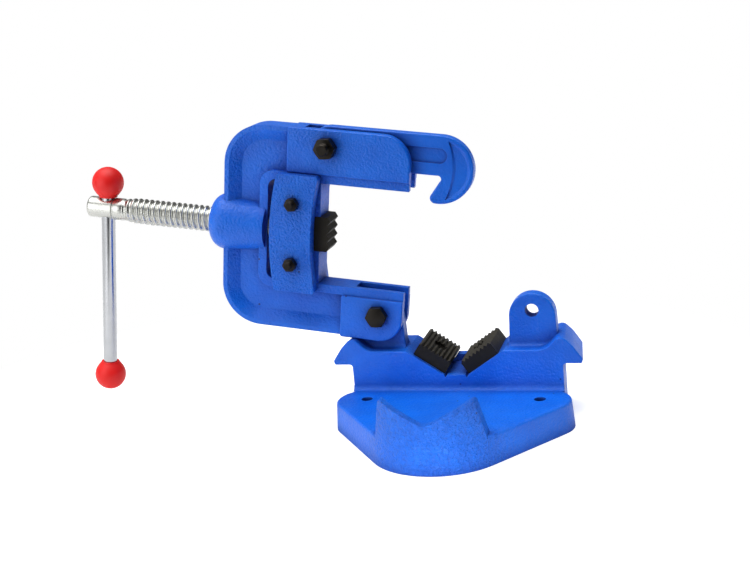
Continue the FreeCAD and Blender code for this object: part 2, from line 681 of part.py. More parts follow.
def head_hollow(inset, y):
    """Outline of the crescent hollow in the hook's head, inset from its upper edge."""
    radius = HOOK_HEAD_R - HOOK_RIM - inset
    centre = Vec(HOOK_HEAD_X, y, HOOK_N + HOOK_TAIL_R - HOOK_HEAD_R)
    angle = math.radians(HOOK_HOLLOW_ANGLE - inset)
    outer = centre + RIGHT * radius
    inner = Vec(HOOK_HOLLOW_X + inset, y, centre.z)
    top = centre + Vec(radius * math.cos(angle), 0, radius * math.sin(angle))
    bottom = centre + Vec(radius * math.cos(angle), 0, -radius * math.sin(angle))
    return Part.Wire([Part.Arc(top, outer, bottom).toShape(),
                      Part.Arc(bottom, inner, top).toShape()])


def latch_hook():
    """Flat hook: round tail on the pivot, straight shank and a head that turns back."""
    top = HOOK_N + HOOK_TAIL_R
    bottom = HOOK_N - HOOK_TAIL_R
    head = Vec(HOOK_HEAD_X, 0, top - HOOK_HEAD_R)
    y = -HOOK_THICK / 2
    end_angle = math.radians(HOOK_HEAD_END_ANGLE)

    def at(x, z):
        return Vec(x, y, z)

    def on_head(angle):
        return at(head.x + HOOK_HEAD_R * math.cos(angle), head.z + HOOK_HEAD_R * math.sin(angle))

    nose = at(HOOK_NOSE_X, HOOK_N - HOOK_NOSE_UP - HOOK_NOSE_LONG)
    lip = at(HOOK_NOSE_X, HOOK_N - HOOK_NOSE_UP - HOOK_LIP)
    catch = at(HOOK_THROAT_X, HOOK_N - HOOK_THROAT_UP)
    throat_in = at(HOOK_THROAT_X + HOOK_THROAT_IN[0], bottom + HOOK_THROAT_IN[1])
    throat_top = at(HOOK_THROAT_X - HOOK_THROAT_R, bottom)
    tail_x = -LATCH_PIVOT_BACK
    edges = [
        Part.LineSegment(at(tail_x, top), at(head.x, top)),
        Part.Arc(at(head.x, top), on_head(0), on_head(end_angle)),
        Part.Arc(on_head(end_angle), nose, lip),
        Part.LineSegment(lip, catch),
        Part.Arc(catch, throat_in, throat_top),
        Part.LineSegment(throat_top, at(tail_x, bottom)),
        Part.Arc(at(tail_x, bottom), at(tail_x - HOOK_TAIL_R, HOOK_N), at(tail_x, top)),
    ]
    face = Part.Face(Part.Wire([edge.toShape() for edge in edges]))
    solid = face.extrude(Vec(0, HOOK_THICK, 0))
    rim = edges_at(solid, lambda point: near(abs(point.y), HOOK_THICK / 2))
    solid = solid.makeFillet(HOOK_EDGE_R, rim)
    for side in (-1, 1):
        panel = [(HOOK_PANEL_START, HOOK_N - HOOK_PANEL_HALF, 0),
                 (HOOK_PANEL_END, HOOK_N - HOOK_PANEL_HALF, HOOK_PANEL_HALF - SHORT),
                 (HOOK_PANEL_END, HOOK_N + HOOK_PANEL_HALF, HOOK_PANEL_HALF - SHORT),
                 (HOOK_PANEL_START, HOOK_N + HOOK_PANEL_HALF, 0)]
        inner = HOOK_THICK / 2 - HOOK_PANEL_DEEP
        solid = solid.cut(prism(panel, side * inner, side * (inner + PAST)))
        wires = [head_hollow(0, side * HOOK_THICK / 2),
                 head_hollow(HOOK_HOLLOW_SLOPE, side * (HOOK_THICK / 2 - HOOK_HOLLOW_DEEP))]
        solid = solid.cut(Part.makeLoft(wires, True, True))
    pivot = Vec(tail_x, y, HOOK_N)
    return solid.cut(rod(pivot, BACK, PIN_R + RUN_FIT, HOOK_THICK))


# Slide, in the yoke's view

def slide_plate(y_from, y_to):
    """Bowed plate that covers both rails and the block between them."""
    low = OPENING_LOW - RAIL_WIDE + SEAT_GAP
    high = OPENING_HIGH + RAIL_WIDE - SEAT_GAP
    front = -SLIDE_FRONT_FACE
    rear = -SLIDE_BACK_FACE
    corners = [Vec(front, y_from, low), Vec(front, y_from, high),
               Vec(rear, y_from, high), Vec(rear, y_from, low)]
    middle = (low + high) / 2
    edges = [
        Part.Arc(corners[0], Vec(front - SLIDE_PLATE_BOW, y_from, middle), corners[1]),
        Part.LineSegment(corners[1], corners[2]),
        Part.Arc(corners[2], Vec(rear - SLIDE_PLATE_BOW, y_from, middle), corners[3]),
        Part.LineSegment(corners[3], corners[0]),
    ]
    face = Part.Face(Part.Wire([edge.toShape() for edge in edges]))
    solid = face.extrude(Vec(0, y_to - y_from, 0))
    upright = [edge for edge in solid.Edges
               if near(edge.Vertexes[0].Z, edge.Vertexes[-1].Z)
               and near(edge.Vertexes[0].X, edge.Vertexes[-1].X)]
    return solid.makeFillet(SLIDE_PLATE_CORNER_R, upright)


def slide_bolt_places():
    return [(SLIDE_BOLT_X, SCREW_N + side * SLIDE_BOLT_SPACING / 2) for side in (-1, 1)]


def jaw_outline():
    """Upper jaw in the yoke's view: T foot, stem and teeth."""
    half = UPPER_JAW_WIDE / 2
    foot_half = UPPER_JAW_FOOT_WIDE / 2
    root = -SLIDE_FRONT_FACE + UPPER_JAW_PROUD
    sunk = -SLIDE_FRONT_FACE - UPPER_JAW_SUNK
    foot = sunk - UPPER_JAW_FOOT_THICK
    teeth = [(x, z, 0) for z, x, none in
             toothed_edge(SCREW_N - half, SCREW_N + half, root, UPPER_TOOTH_HIGH,
                          UPPER_TOOTH_COUNT)]
    return ([(foot, SCREW_N - foot_half, 0), (sunk, SCREW_N - foot_half, 0),
             (sunk, SCREW_N - half, 0), (root, SCREW_N - half, 0)] + teeth +
            [(root, SCREW_N + half, 0), (sunk, SCREW_N + half, 0),
             (sunk, SCREW_N + foot_half, 0), (foot, SCREW_N + foot_half, 0)])


def upper_jaw():
    return prism(jaw_outline(), -SLIDE_HALF_DEPTH, YOKE_HALF_DEPTH)


def button_slot():
    """Keyhole slot that the screw's neck and button drop into from the front."""
    gap = SEAT_GAP
    neck_from = -SLIDE_BACK_FACE - SHORT
    neck_to = -SLIDE_BACK_FACE + SCREW_NECK_LONG
    button_to = neck_to + SCREW_BUTTON_THICK + gap
    solid = None
    for radius, x_from, x_to in ((SCREW_NECK_R + RUN_FIT, neck_from, neck_to + gap),
                                 (SCREW_BUTTON_R + gap, neck_to, button_to)):
        bore = rod(Vec(x_from, 0, SCREW_N), RIGHT, radius, x_to - x_from)
        mouth = Part.makeBox(x_to - x_from, PAST, 2 * radius,
                             Vec(x_from, -PAST, SCREW_N - radius))
        piece = bore.fuse(mouth)
        solid = piece if solid is None else solid.fuse(piece)
    return solid


def slide_body():
    """Block between the arms with the rear plate in one piece with it."""
    block = slab(-SLIDE_BACK_FACE, -SLIDE_FRONT_FACE, SLIDE_HALF_DEPTH,
                 OPENING_LOW + SEAT_GAP, OPENING_HIGH - SEAT_GAP)
    solid = block.fuse(slide_plate(SLIDE_HALF_DEPTH, SLIDE_OUTER_Y))
    solid = solid.cut(prism(jaw_outline(), -PAST, YOKE_HALF_DEPTH))
    solid = solid.cut(button_slot())
    for x, z in slide_bolt_places():
        solid = solid.cut(rod(Vec(x, -PAST, z), BACK, SLIDE_BOLT_R, 2 * PAST))
    return solid


def slide_cover_plate():
    solid = slide_plate(-SLIDE_OUTER_Y, -SLIDE_HALF_DEPTH)
    for x, z in slide_bolt_places():
        solid = solid.cut(rod(Vec(x, -PAST, z), BACK, SLIDE_BOLT_R, PAST))
    return solid


def slide_bolt(x, z):
    """Hexagon bolt with its head behind the slide."""
    long = 2 * SLIDE_OUTER_Y + SLIDE_NUT_HIGH + SLIDE_BOLT_TIP
    chamfer = TIP_CHAMFER
    shank = turned([(0, 0, 0), (SLIDE_BOLT_R - chamfer, 0, 0), (SLIDE_BOLT_R, chamfer, 0),
                    (SLIDE_BOLT_R, long, 0), (0, long, 0)],
                   Vec(x, SLIDE_OUTER_Y - long, z), BACK)
    return shank.fuse(hexagon(Vec(x, SLIDE_OUTER_Y, z), BACK, SLIDE_BOLT_FLATS,
                              SLIDE_BOLT_HEAD_HIGH))


def slide_nut(x, z):
    seat = Vec(x, -SLIDE_OUTER_Y, z)
    nut = hexagon(seat, BACK * -1, SLIDE_BOLT_FLATS, SLIDE_NUT_HIGH)
    return nut.cut(rod(seat, BACK * -1, SLIDE_BOLT_R, SLIDE_NUT_HIGH))


# Screw and handle, in the yoke's view

def screw_spindle():
    """Screw at its thread's outer size, with its head outside and its button in the slide."""
    shoulder = -SLIDE_BACK_FACE - SEAT_GAP
    neck_end = -SLIDE_BACK_FACE + SCREW_NECK_LONG + SEAT_GAP
    button_end = neck_end + SCREW_BUTTON_THICK - SEAT_GAP
    ring = -(HEAD_COLLAR_END + HEAD_GROOVE)
    profile = [
        (0, -HEAD_END, 0),
        (HEAD_R, -HEAD_END, HEAD_EDGE_R),
        (HEAD_R, ring - HEAD_GROOVE, 0),
        (HEAD_R - HEAD_GROOVE, ring, 0),
        (HEAD_COLLAR_R, -HEAD_COLLAR_END, 0),
        (HEAD_COLLAR_R, -THREAD_END, 0),
        (SCREW_R, -THREAD_END + SCREW_R - HEAD_COLLAR_R, 0),
        (SCREW_R, shoulder, 0),
        (SCREW_NECK_R, shoulder, 0),
        (SCREW_NECK_R, neck_end, 0),
        (SCREW_BUTTON_R, neck_end, 0),
        (SCREW_BUTTON_R, button_end, 0),
        (0, button_end, 0),
    ]
    solid = turned(profile, SCREW_AXIS, RIGHT)
    across = 2 * HEAD_R + PAST
    return solid.cut(rod(Vec(-HANDLE_BACK, 0, SCREW_N - across / 2), UP, HANDLE_R + RUN_FIT,
                         across))


def knob_centres():
    """Heights of the two ball centres: the upper knob's mouth is just clear of the collar."""
    upper = SCREW_N + HEAD_COLLAR_R + SEAT_GAP + KNOB_NECK
    lower = SCREW_N - HEAD_COLLAR_R - HANDLE_TRAVEL - SEAT_GAP - KNOB_NECK
    return lower, upper


def knob(centre_z, outward):
    """Ball knob with a short conical neck towards the middle of the bar."""
    waist_r = math.sqrt(KNOB_R ** 2 - KNOB_WAIST ** 2)
    blind_end = KNOB_GRIP - KNOB_NECK
    corners = [Vec(x, 0, z) for x, z in
               ((0, KNOB_R), (waist_r, -KNOB_WAIST), (KNOB_NECK_R, KNOB_MOUTH_R - KNOB_NECK),
                (KNOB_NECK_R - KNOB_MOUTH_R, -KNOB_NECK), (HANDLE_R, -KNOB_NECK),
                (HANDLE_R, blind_end), (0, blind_end), (0, KNOB_R))]
    edges = [Part.Arc(corners[0], Vec(KNOB_R, 0, 0), corners[1])]
    edges += [Part.LineSegment(a, b) for a, b in zip(corners[1:], corners[2:])]
    face = Part.Face(Part.Wire([edge.toShape() for edge in edges]))
    solid = face.revolve(ORIGIN, UP, 360)
    solid.Placement = FreeCAD.Placement(Vec(-HANDLE_BACK, 0, centre_z),
                                        FreeCAD.Rotation(UP, UP * outward))
    return solid


def handle_bar():
    lower, upper = knob_centres()
    start = lower + KNOB_NECK - KNOB_GRIP
    end = upper - KNOB_NECK + KNOB_GRIP
    return rod(Vec(-HANDLE_BACK, 0, start), UP, HANDLE_R, end - start)


def save(name, solid):
    """Writes one piece, which has to be one sound solid."""
    if solid.ShapeType != "Solid" and len(solid.Solids) == 1:
        solid = solid.Solids[0]
    if not solid.isValid() or len(solid.Solids) != 1 or solid.Volume <= 0:
        raise ValueError(name + " is not one sound solid")
    solid.exportStep(os.path.join("parts", name + ".step"))
    print(name, round(solid.Volume / 1000, 1), "cm3")


def main():
    os.makedirs("parts", exist_ok=True)
    save("base_casting", base_casting())
    for side, word in ((-1, "left"), (1, "right")):
        save("lower_jaw_" + word, lower_jaw(side))
        save("lower_jaw_screw_" + word, jaw_screw(side))
    save("yoke_casting", swung(yoke_casting()))
    hinge_grip = CHEEK_HALF_DEPTH
    save("hinge_bolt", swung(cross_bolt(0, 0, hinge_grip, -1, HINGE_BOLT_TIP)))
    save("hinge_nut", swung(cross_nut(0, 0, hinge_grip, -1)))
    save("latch_bolt", swung(cross_bolt(-LATCH_PIVOT_BACK, HOOK_N, CHEEK_HALF_DEPTH, 1,
                                        LATCH_BOLT_TIP)))
    save("latch_nut", swung(cross_nut(-LATCH_PIVOT_BACK, HOOK_N, CHEEK_HALF_DEPTH, 1)))
    save("latch_hook", swung(latch_hook()))
    save("slide_body", swung(slide_body()))
    save("slide_cover_plate", swung(slide_cover_plate()))
    save("upper_jaw", swung(upper_jaw()))
    for (x, z), word in zip(slide_bolt_places(), ("lower", "upper")):
        save("slide_bolt_" + word, swung(slide_bolt(x, z)))
        save("slide_nut_" + word, swung(slide_nut(x, z)))
    save("screw_spindle", swung(screw_spindle()))
    save("handle_bar", swung(handle_bar()))
    lower, upper = knob_centres()
    save("knob_lower", swung(knob(lower, -1)))
    save("knob_upper", swung(knob(upper, 1)))


main()
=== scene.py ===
"""Looks of a yoke pipe vise: cast bodies in enamel, blackened jaws and bolts, rolled screw, knobs.

Lengths named in millimetres are turned to metres by mm(). The CAD model is the frame: pieces
take their places from its nodes and joints.
"""

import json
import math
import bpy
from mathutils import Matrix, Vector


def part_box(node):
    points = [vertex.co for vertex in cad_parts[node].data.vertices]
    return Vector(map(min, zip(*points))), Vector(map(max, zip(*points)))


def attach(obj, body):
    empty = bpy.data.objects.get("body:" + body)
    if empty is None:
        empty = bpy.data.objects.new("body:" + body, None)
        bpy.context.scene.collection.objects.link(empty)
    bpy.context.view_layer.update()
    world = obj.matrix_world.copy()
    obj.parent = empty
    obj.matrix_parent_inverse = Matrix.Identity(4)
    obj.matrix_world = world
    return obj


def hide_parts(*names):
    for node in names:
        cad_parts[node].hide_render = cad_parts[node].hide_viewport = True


bl_info = {
    "name": "Pipe Vise Looks",
    "version": (1, 0, 0),
    "blender": (4, 5, 0),
    "location": "View3D > Sidebar > Pipe Vise",
    "description": "Finishes, screw thread, bolts and studio for a yoke pipe vise",
    "category": "Object",
}

import bmesh
import bpy
from mathutils import Matrix, Vector

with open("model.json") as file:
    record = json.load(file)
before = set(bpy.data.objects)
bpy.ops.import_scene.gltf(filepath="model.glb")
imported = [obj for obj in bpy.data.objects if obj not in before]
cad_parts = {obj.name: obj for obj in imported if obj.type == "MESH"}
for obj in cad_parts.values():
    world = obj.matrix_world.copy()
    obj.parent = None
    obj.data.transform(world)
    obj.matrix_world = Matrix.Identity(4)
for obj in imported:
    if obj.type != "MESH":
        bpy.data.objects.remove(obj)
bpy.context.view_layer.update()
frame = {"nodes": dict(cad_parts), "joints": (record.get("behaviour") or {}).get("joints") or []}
JOINTS = {joint["name"]: joint for joint in frame["joints"]}


def mm(value):
    return value / 1000


FRONT = Vector((0, -1, 0))
BACK = Vector((0, 1, 0))
SCREW_AXIS = Vector(JOINTS["screw_turn"]["axis"])
HANDLE_AXIS = Vector(JOINTS["handle_slide"]["axis"])
TAU = 2 * math.pi

# Depth of the middle of the yoke's cheeks
CHEEK_MIDDLE = JOINTS["yoke_hinge"]["pos_m"][1]

# Points round each kind of piece, and rings along a chamfer and along one turn of a thread
ROUND_STEPS = 96
BUTTON_STEPS = 64
DRILL_STEPS = 64
ROD_STEPS = 40
THREAD_STEPS = 72
CHAMFER_RINGS = 6
ROD_TURN_RINGS = 6
THREAD_TURN_RINGS = 14

# Widest angle between two faces that still shades smooth, in degrees
SMOOTH_CRISP = 32
SMOOTH_THREAD = 50
SMOOTH_KNOB = 60

# Hexagon head or nut: its worn corner and the flat part of its end face, as shares of half its
# width across the flats, and the slope of its chamfer
CORNER_WORN = 1.12
FACE_SHARE = 0.985
CHAMFER = math.radians(30)

# Bolt thread: its depth as a share of the pitch, and the depth of its tip's chamfer in threads
THREAD_SHARE = 0.6
TIP_SHARE = 1.1

# Screw thread: turns that it takes to rise from the collar, how deep it starts as a share of its
# full depth, and how far under the collar its first crest lies
RISE_TURNS = 2.2
FIRST_DEPTH = 0.25
FIRST_SUNK = mm(0.4)

# Outlines as (inset from the radius, distance on from where they start), in millimetres
HEAD_END = ((2.2, 0), (0.9, 0.35), (0.2, 1.2), (0, 2.4))
HEAD_GROOVE = ((0, -1.17), (0.9, -0.54), (0.9, -0.18))
COLLAR_START = ((0.3, 0.1), (0, 0.6))
COLLAR_FINISH = ((0, -0.9), (0.5, 0.1), (3, 0.2))
BUTTON_START = ((0.8, 0.02), (0, 0.8))
BUTTON_FINISH = ((0, -0.8), (0.8, 0))
KNOB_LIP = ((0.8, 0), (0.15, 0.35), (0, 1.1))

# How far the drill for the cross hole reaches each way from the middle of the bar, in metres
DRILL_REACH = 0.3

# Knob: where its flared neck meets the ball and where the ball ends at its top, in degrees above
# the ball's middle, the share of the flare that bends, and the rings along the flare and the ball
KNOB_MEET = -38
KNOB_TOP = 89.5
FLARE_BEND = 0.35
FLARE_RINGS = 5
BALL_RINGS = 32

# How strongly the sand's pebbles show on each casting, against the hook's, the smoothest
PEBBLE_BASE = 2.6
PEBBLE_YOKE = 3.0
PEBBLE_HOOK = 1.0
PEBBLE_SLIDE = 8.0

# Depth at which the base's rough nose begins, and where it is at its roughest
NOSE_FROM = mm(-62)
NOSE_FULL = mm(-95)

# Colour sockets of the Mix node, which shares its socket names between kinds of value
MIX_A = 6
MIX_B = 7
MIX_OUT = 2

WHITE = (1, 1, 1, 1)

# Stretch in which most values of a noise lie
NOISE_LOW = 0.3
NOISE_HIGH = 0.7

# Enamel: how much its own ripple, the casting's waves and the pits count in the relief beside
# the sand, how its roughness varies, and how open a corner is where painted shade begins and is
# full
PEEL_WEIGHT = 0.3
SWELL_WEIGHT = 1.2
PIT_WEIGHT = -0.35
GLOSS_LESS = 0.05
GLOSS_MORE = 0.07
CORNER_SHADE_SPAN = (0.95, 0.35)

# Rough nose: values of its noise between which ridges rise, and between which painted shade
# darkens the grooves
RIDGE_SPAN = (0.38, 0.62)
GROOVE_SHADE_SPAN = (0.5, 0.3)

# Blackened steel, paler on faces that look up from wear and painted light from above: how far a
# face looks up where this begins and is full, and the least of it
UPWARD_SPAN = (0.2, 0.7)
LIT_AND_RUBBED_LEAST = 0.3

# Camera that gives the photograph's view, found from the object's own edges: its place in
# metres, its angles in degrees, its lens and sensor in millimetres
CAMERA_PLACE = (0.2603, -1.1217, 0.4383)
CAMERA_YAW = 16.16
CAMERA_PITCH = 14.10
CAMERA_ROLL = -5.47
CAMERA_LENS = 61.3
SENSOR_WIDTH = 36

# Side of the light tent that is open, a little right of the camera, and its dimmer far corner
OPENING_DIRECTION = (0.5, -0.87, 0.0)
DIM_DIRECTION = (0.6, 0.8, 0.0)

# Cosines from those two directions, and heights, between which the tent's light changes
OPENING_SPAN = (0.1, 0.8)
DIM_SPAN = (0.0, 0.8)
OVERHEAD_SPAN = (0.75, 0.95)

# Lamps: lengths in metres, spread in degrees
KEY_LAMP = {"place": Vector((-0.7, -0.62, 0.42)), "target": Vector((-0.08, 0, 0.12)),
            "size": 0.7, "spread": 180}
FILL_LAMP = {"place": Vector((0.06, -0.45, 0.05)), "target": Vector((0.02, -0.13, -0.03)),
             "size": 0.15, "spread": 40}

# Floor: half its width, how far it lies under the object, and the middle of the stage
FLOOR_HALF = 6
FLOOR_DROP = mm(-0.3)
STAGE_MIDDLE = (mm(-130), 0, 0)

# Where the paper fades out towards the front, from which side on it does, and how far from the
# middle of the stage the floor turns white for the camera
PAPER_FRONT = (-0.3, -0.5)
PAPER_SIDE = (-0.5, -0.25)
WHITE_FROM = (0.3, 0.5)


def linear(code):
    """sRGB hex colour to linear RGBA."""
    channels = [int(code[i:i + 2], 16) / 255 for i in (1, 3, 5)]
    return tuple(c / 12.92 if c <= 0.04045 else ((c + 0.055) / 1.055) ** 2.4
                 for c in channels) + (1,)


def ease(part):
    """Smooth step from 0 to 1."""
    return part * part * (3 - 2 * part)


def add(tree, kind, inputs=None, **settings):
    """Adds a shader node, sets its properties, and fills or links its inputs."""
    node = tree.nodes.new("ShaderNode" + kind)
    for name, value in settings.items():
        setattr(node, name, value)
    for socket, value in (inputs or {}).items():
        if isinstance(value, bpy.types.NodeSocket):
            tree.links.new(value, node.inputs[socket])
        else:
            node.inputs[socket].default_value = value
    return node


def new_material(name):
    """Empty material; returns it and its tree."""
    material = bpy.data.materials.new(name)
    material.use_nodes = True
    material.node_tree.nodes.clear()
    return material, material.node_tree


def dress(piece, material):
    """Gives the whole piece one material."""
    piece.data.materials.clear()
    piece.data.materials.append(material)


# Mesh building

def build_object(name, mesh_builder):
    """Object whose mesh is drawn by a bmesh builder."""
    mesh = bpy.data.meshes.new(name)
    bm = bmesh.new()
    mesh_builder(bm)
    bmesh.ops.recalc_face_normals(bm, faces=bm.faces)
    bm.to_mesh(mesh)
    bm.free()
    thing = bpy.data.objects.new(name, mesh)
    bpy.context.scene.collection.objects.link(thing)
    return thing


def smooth_by_angle(piece, degrees):
    """Smooth shading that keeps edges sharper than the angle."""
    limit = math.radians(degrees)
    mesh = piece.data
    bm = bmesh.new()
    bm.from_mesh(mesh)
    for face in bm.faces:
        face.smooth = True
    for edge in bm.edges:
        edge.smooth = len(edge.link_faces) == 2 and edge.calc_face_angle(0) < limit
    bm.to_mesh(mesh)
    bm.free()


def make_piece(name, mesh_builder, material, body, replaced, smooth):
    """Smoothed and dressed object, tied to its body and standing for the replaced CAD nodes."""
    piece = build_object(name, mesh_builder)
    smooth_by_angle(piece, smooth)
    dress(piece, material)
    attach(piece, body)
    if replaced:
        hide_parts(*replaced)
    return piece


def frame_on(base, axis):
    """Matrix that stands local Z on base along axis."""
    turn = axis.to_track_quat("Z", "Y").to_matrix().to_4x4()
    return Matrix.Translation(base) @ turn


def ring(bm, radii, height, place):
    """Points round local Z at one height, one for each radius in turn."""
    points = []
    for i, radius in enumerate(radii):
        angle = TAU * i / len(radii)
        point = Vector((radius * math.cos(angle), radius * math.sin(angle), height))
        points.append(bm.verts.new(place @ point))
    return points


def join_rings(bm, rings):
    """Faces from each ring to the next, and one across each end."""
    for low, high in zip(rings, rings[1:]):
        for i in range(len(low)):
            j = (i + 1) % len(low)
            bm.faces.new((low[i], low[j], high[j], high[i]))
    bm.faces.new(rings[0][::-1])
    bm.faces.new(rings[-1])


def ring_surface(bm, heights, radius_at, steps, place):
    """Closed surface of rings; radius_at(height, angle) gives each point's radius."""
    angles = [TAU * i / steps for i in range(steps)]
    join_rings(bm, [ring(bm, [radius_at(height, angle) for angle in angles], height, place)
                    for height in heights])


def turned_surface(bm, profile, steps, place):
    """Closed surface of revolution through (radius, height) points."""
    join_rings(bm, [ring(bm, [radius] * steps, height, place) for radius, height in profile])


def outline(radius, start, points):
    """Profile points from (inset from the radius, distance on from the start), in millimetres."""
    return [(radius - mm(inset), start + mm(on)) for inset, on in points]


def steps_between(start, end, step):
    """Evenly spaced values from start to end, no farther apart than step."""
    count = max(1, math.ceil(abs(end - start) / step))
    return [start + (end - start) * i / count for i in range(count + 1)]


def extent(node, axis, origin):
    """Nearest and farthest distance of a CAD node's points along an axis from an origin."""
    along = [(vertex.co - origin).dot(axis) for vertex in frame["nodes"][node].data.vertices]
    return min(along), max(along)


def box_middle(node):
    """Middle of a CAD node's box."""
    low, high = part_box(node)
    return (Vector(low) + Vector(high)) / 2


# Finishes

def mixed_height(tree, parts):
    """Sum of (output, weight) pairs, as one height."""
    total = 0.0
    for output, weight in parts:
        total = add(tree, "Math", {0: output, 1: weight, 2: total},
                    operation="MULTIPLY_ADD").outputs[0]
    return total


def rough_nose(tree, where, look):
    """Worm-like skin on the base's nose: its height, and how deep a spot lies in a groove, for
    painted shade there.
    """
    spot = add(tree, "SeparateXYZ", {0: where})
    region = add(tree, "MapRange", {"Value": spot.outputs["Y"], "From Min": NOSE_FROM,
                                    "From Max": NOSE_FULL})
    worm = add(tree, "TexNoise", {"Vector": where, "Scale": 1 / look.worm_size,
                                  "Detail": 3.0, "Roughness": 0.62, "Distortion": 0.7})
    ridge = add(tree, "MapRange", {"Value": worm.outputs["Fac"], "From Min": RIDGE_SPAN[0],
                                   "From Max": RIDGE_SPAN[1], "To Max": look.worm_relief})
    groove = add(tree, "MapRange", {"Value": worm.outputs["Fac"], "From Min": GROOVE_SHADE_SPAN[0],
                                    "From Max": GROOVE_SHADE_SPAN[1], "To Max": look.groove_shade_share})
    return [add(tree, "Math", {0: part.outputs[0], 1: region.outputs[0]},
                operation="MULTIPLY").outputs[0] for part in (ridge, groove)]


def enamel_on_cast_iron(name, look, pebble, rough_front=False):
    """Gloss enamel brushed over sand-cast iron.

    Grey iron poured in a sand mould keeps the sand's pebbled skin, and the enamel softens it
    into an orange peel: a saturated blue with broad highlights and small open pits. Corners are
    duller, and darker with painted shade from an occlusion mask; the pits' bottoms carry painted
    shade too. Moulding sand is about 0.3 mm, too fine to show from the camera, so grain_size
    draws it coarser.
    pebble is how strongly the sand shows, and rough_front adds the base's rough nose, with
    painted shade in its grooves.
    """
    material, tree = new_material(name)
    where = add(tree, "TexCoord").outputs["Object"]
    grain = add(tree, "TexNoise", {"Vector": where, "Scale": 1 / look.grain_size,
                                   "Detail": 2.0, "Roughness": 0.55})
    peel = add(tree, "TexNoise", {"Vector": where, "Scale": 1 / look.peel_size,
                                  "Detail": 1.0, "Roughness": 0.5})
    swell = add(tree, "TexNoise", {"Vector": where, "Scale": 1 / look.swell_size,
                                   "Detail": 1.0, "Roughness": 0.5})
    pit = add(tree, "TexVoronoi", {"Vector": where, "Scale": 1 / look.pit_spacing,
                                   "Randomness": 1.0}, feature="F1")
    pit_edge = look.pit_size / look.pit_spacing / 2
    open_pit = add(tree, "MapRange", {"Value": pit.outputs["Distance"], "From Min": pit_edge,
                                      "From Max": pit_edge / 2})
    heights = [(grain.outputs["Fac"], pebble), (peel.outputs["Fac"], PEEL_WEIGHT),
               (swell.outputs["Fac"], SWELL_WEIGHT), (open_pit.outputs[0], PIT_WEIGHT)]
    shade = add(tree, "MapRange", {"Value": swell.outputs["Fac"], "From Min": NOISE_LOW,
                                   "From Max": NOISE_HIGH})
    # Painted shade: an occlusion mask darkens the enamel in corners and recesses, and also makes
    # it duller there
    corner = add(tree, "AmbientOcclusion", {"Distance": look.pool_size}, samples=8)
    corner_shade_and_dull = add(tree, "MapRange", {"Value": corner.outputs["AO"], "From Min": CORNER_SHADE_SPAN[0],
                                  "From Max": CORNER_SHADE_SPAN[1]})
    layers = [(corner_shade_and_dull.outputs[0], look.corner_shade_colour)]
    if rough_front:
        ridge, groove = rough_nose(tree, where, look)
        heights.append((ridge, 1.0))
        # Painted shade in the grooves of the rough nose
        layers.append((groove, look.groove_shade_colour))
    # Painted shade at the bottom of each open pit
    layers.append((open_pit.outputs[0], look.pit_shade_colour))
    body = add(tree, "Mix", {"Factor": shade.outputs[0], MIX_A: linear(look.enamel_deep),
                             MIX_B: linear(look.enamel)}, data_type="RGBA")
    for amount, code in layers:
        body = add(tree, "Mix", {"Factor": amount, MIX_A: body.outputs[MIX_OUT],
                                 MIX_B: linear(code)}, data_type="RGBA")
    edge = add(tree, "Bevel", {"Radius": look.edge_round}, samples=8)
    relief = add(tree, "Bump", {"Height": mixed_height(tree, heights),
                                "Distance": look.grain_depth, "Strength": 1.0,
                                "Normal": edge.outputs[0]})
    gloss = add(tree, "MapRange", {
        "Value": grain.outputs["Fac"], "From Min": NOISE_LOW, "From Max": NOISE_HIGH,
        "To Min": look.gloss_rough - GLOSS_LESS, "To Max": look.gloss_rough + GLOSS_MORE})
    dull = add(tree, "Math", {0: corner_shade_and_dull.outputs[0], 1: look.corner_dull, 2: gloss.outputs[0]},
               operation="MULTIPLY_ADD")
    shader = add(tree, "BsdfPrincipled", {
        "Base Color": body.outputs[MIX_OUT], "Roughness": dull.outputs[0], "IOR": 1.45,
        "Coat Weight": 0.05, "Coat Roughness": 0.15, "Normal": relief.outputs[0]})
    add(tree, "OutputMaterial", {"Surface": shader.outputs[0]})
    return material


def blackened_steel(name, tone, worn, rough):
    """Hardened steel with a black oxide skin, milled and then blued.

    Nearly black and satin, with a brown cast, paler on faces that look up, partly from wear where
    work and hands rub it and partly as painted light from above, and shinier in some clouds than
    in others. Milling marks are finer than a camera shows at this distance and are drawn coarser.
    """
    milling_size = mm(0.9)
    milling_depth = mm(0.12)
    cloud_size = mm(9)
    edge_round = mm(0.35)
    rough_spread = 0.07
    material, tree = new_material(name)
    place = add(tree, "TexCoord")
    where = place.outputs["Object"]
    milling = add(tree, "TexNoise", {"Vector": where, "Scale": 1 / milling_size, "Detail": 3.0,
                                     "Roughness": 0.6})
    cloud = add(tree, "TexNoise", {"Vector": where, "Scale": 1 / cloud_size, "Detail": 2.0,
                                   "Roughness": 0.5})
    edge = add(tree, "Bevel", {"Radius": edge_round}, samples=6)
    relief = add(tree, "Bump", {"Height": milling.outputs["Fac"], "Distance": milling_depth,
                                "Strength": 0.8, "Normal": edge.outputs[0]})
    # Faces that look up are paler: wear where work rubs them, and painted light from above
    facing = add(tree, "SeparateXYZ", {0: place.outputs["Normal"]})
    rubbed_and_lit = add(tree, "MapRange", {"Value": facing.outputs["Z"], "From Min": UPWARD_SPAN[0],
                                    "From Max": UPWARD_SPAN[1], "To Min": LIT_AND_RUBBED_LEAST})
    base = add(tree, "Mix", {"Factor": rubbed_and_lit.outputs[0], MIX_A: linear(tone),
                             MIX_B: linear(worn)}, data_type="RGBA")
    gloss = add(tree, "MapRange", {"Value": cloud.outputs["Fac"], "From Min": NOISE_LOW,
                                   "From Max": NOISE_HIGH, "To Min": rough - rough_spread,
                                   "To Max": rough + rough_spread})
    shader = add(tree, "BsdfPrincipled", {
        "Base Color": base.outputs[MIX_OUT], "Metallic": 1.0, "Roughness": gloss.outputs[0],
        "Normal": relief.outputs[0]})
    add(tree, "OutputMaterial", {"Surface": shader.outputs[0]})
    return material


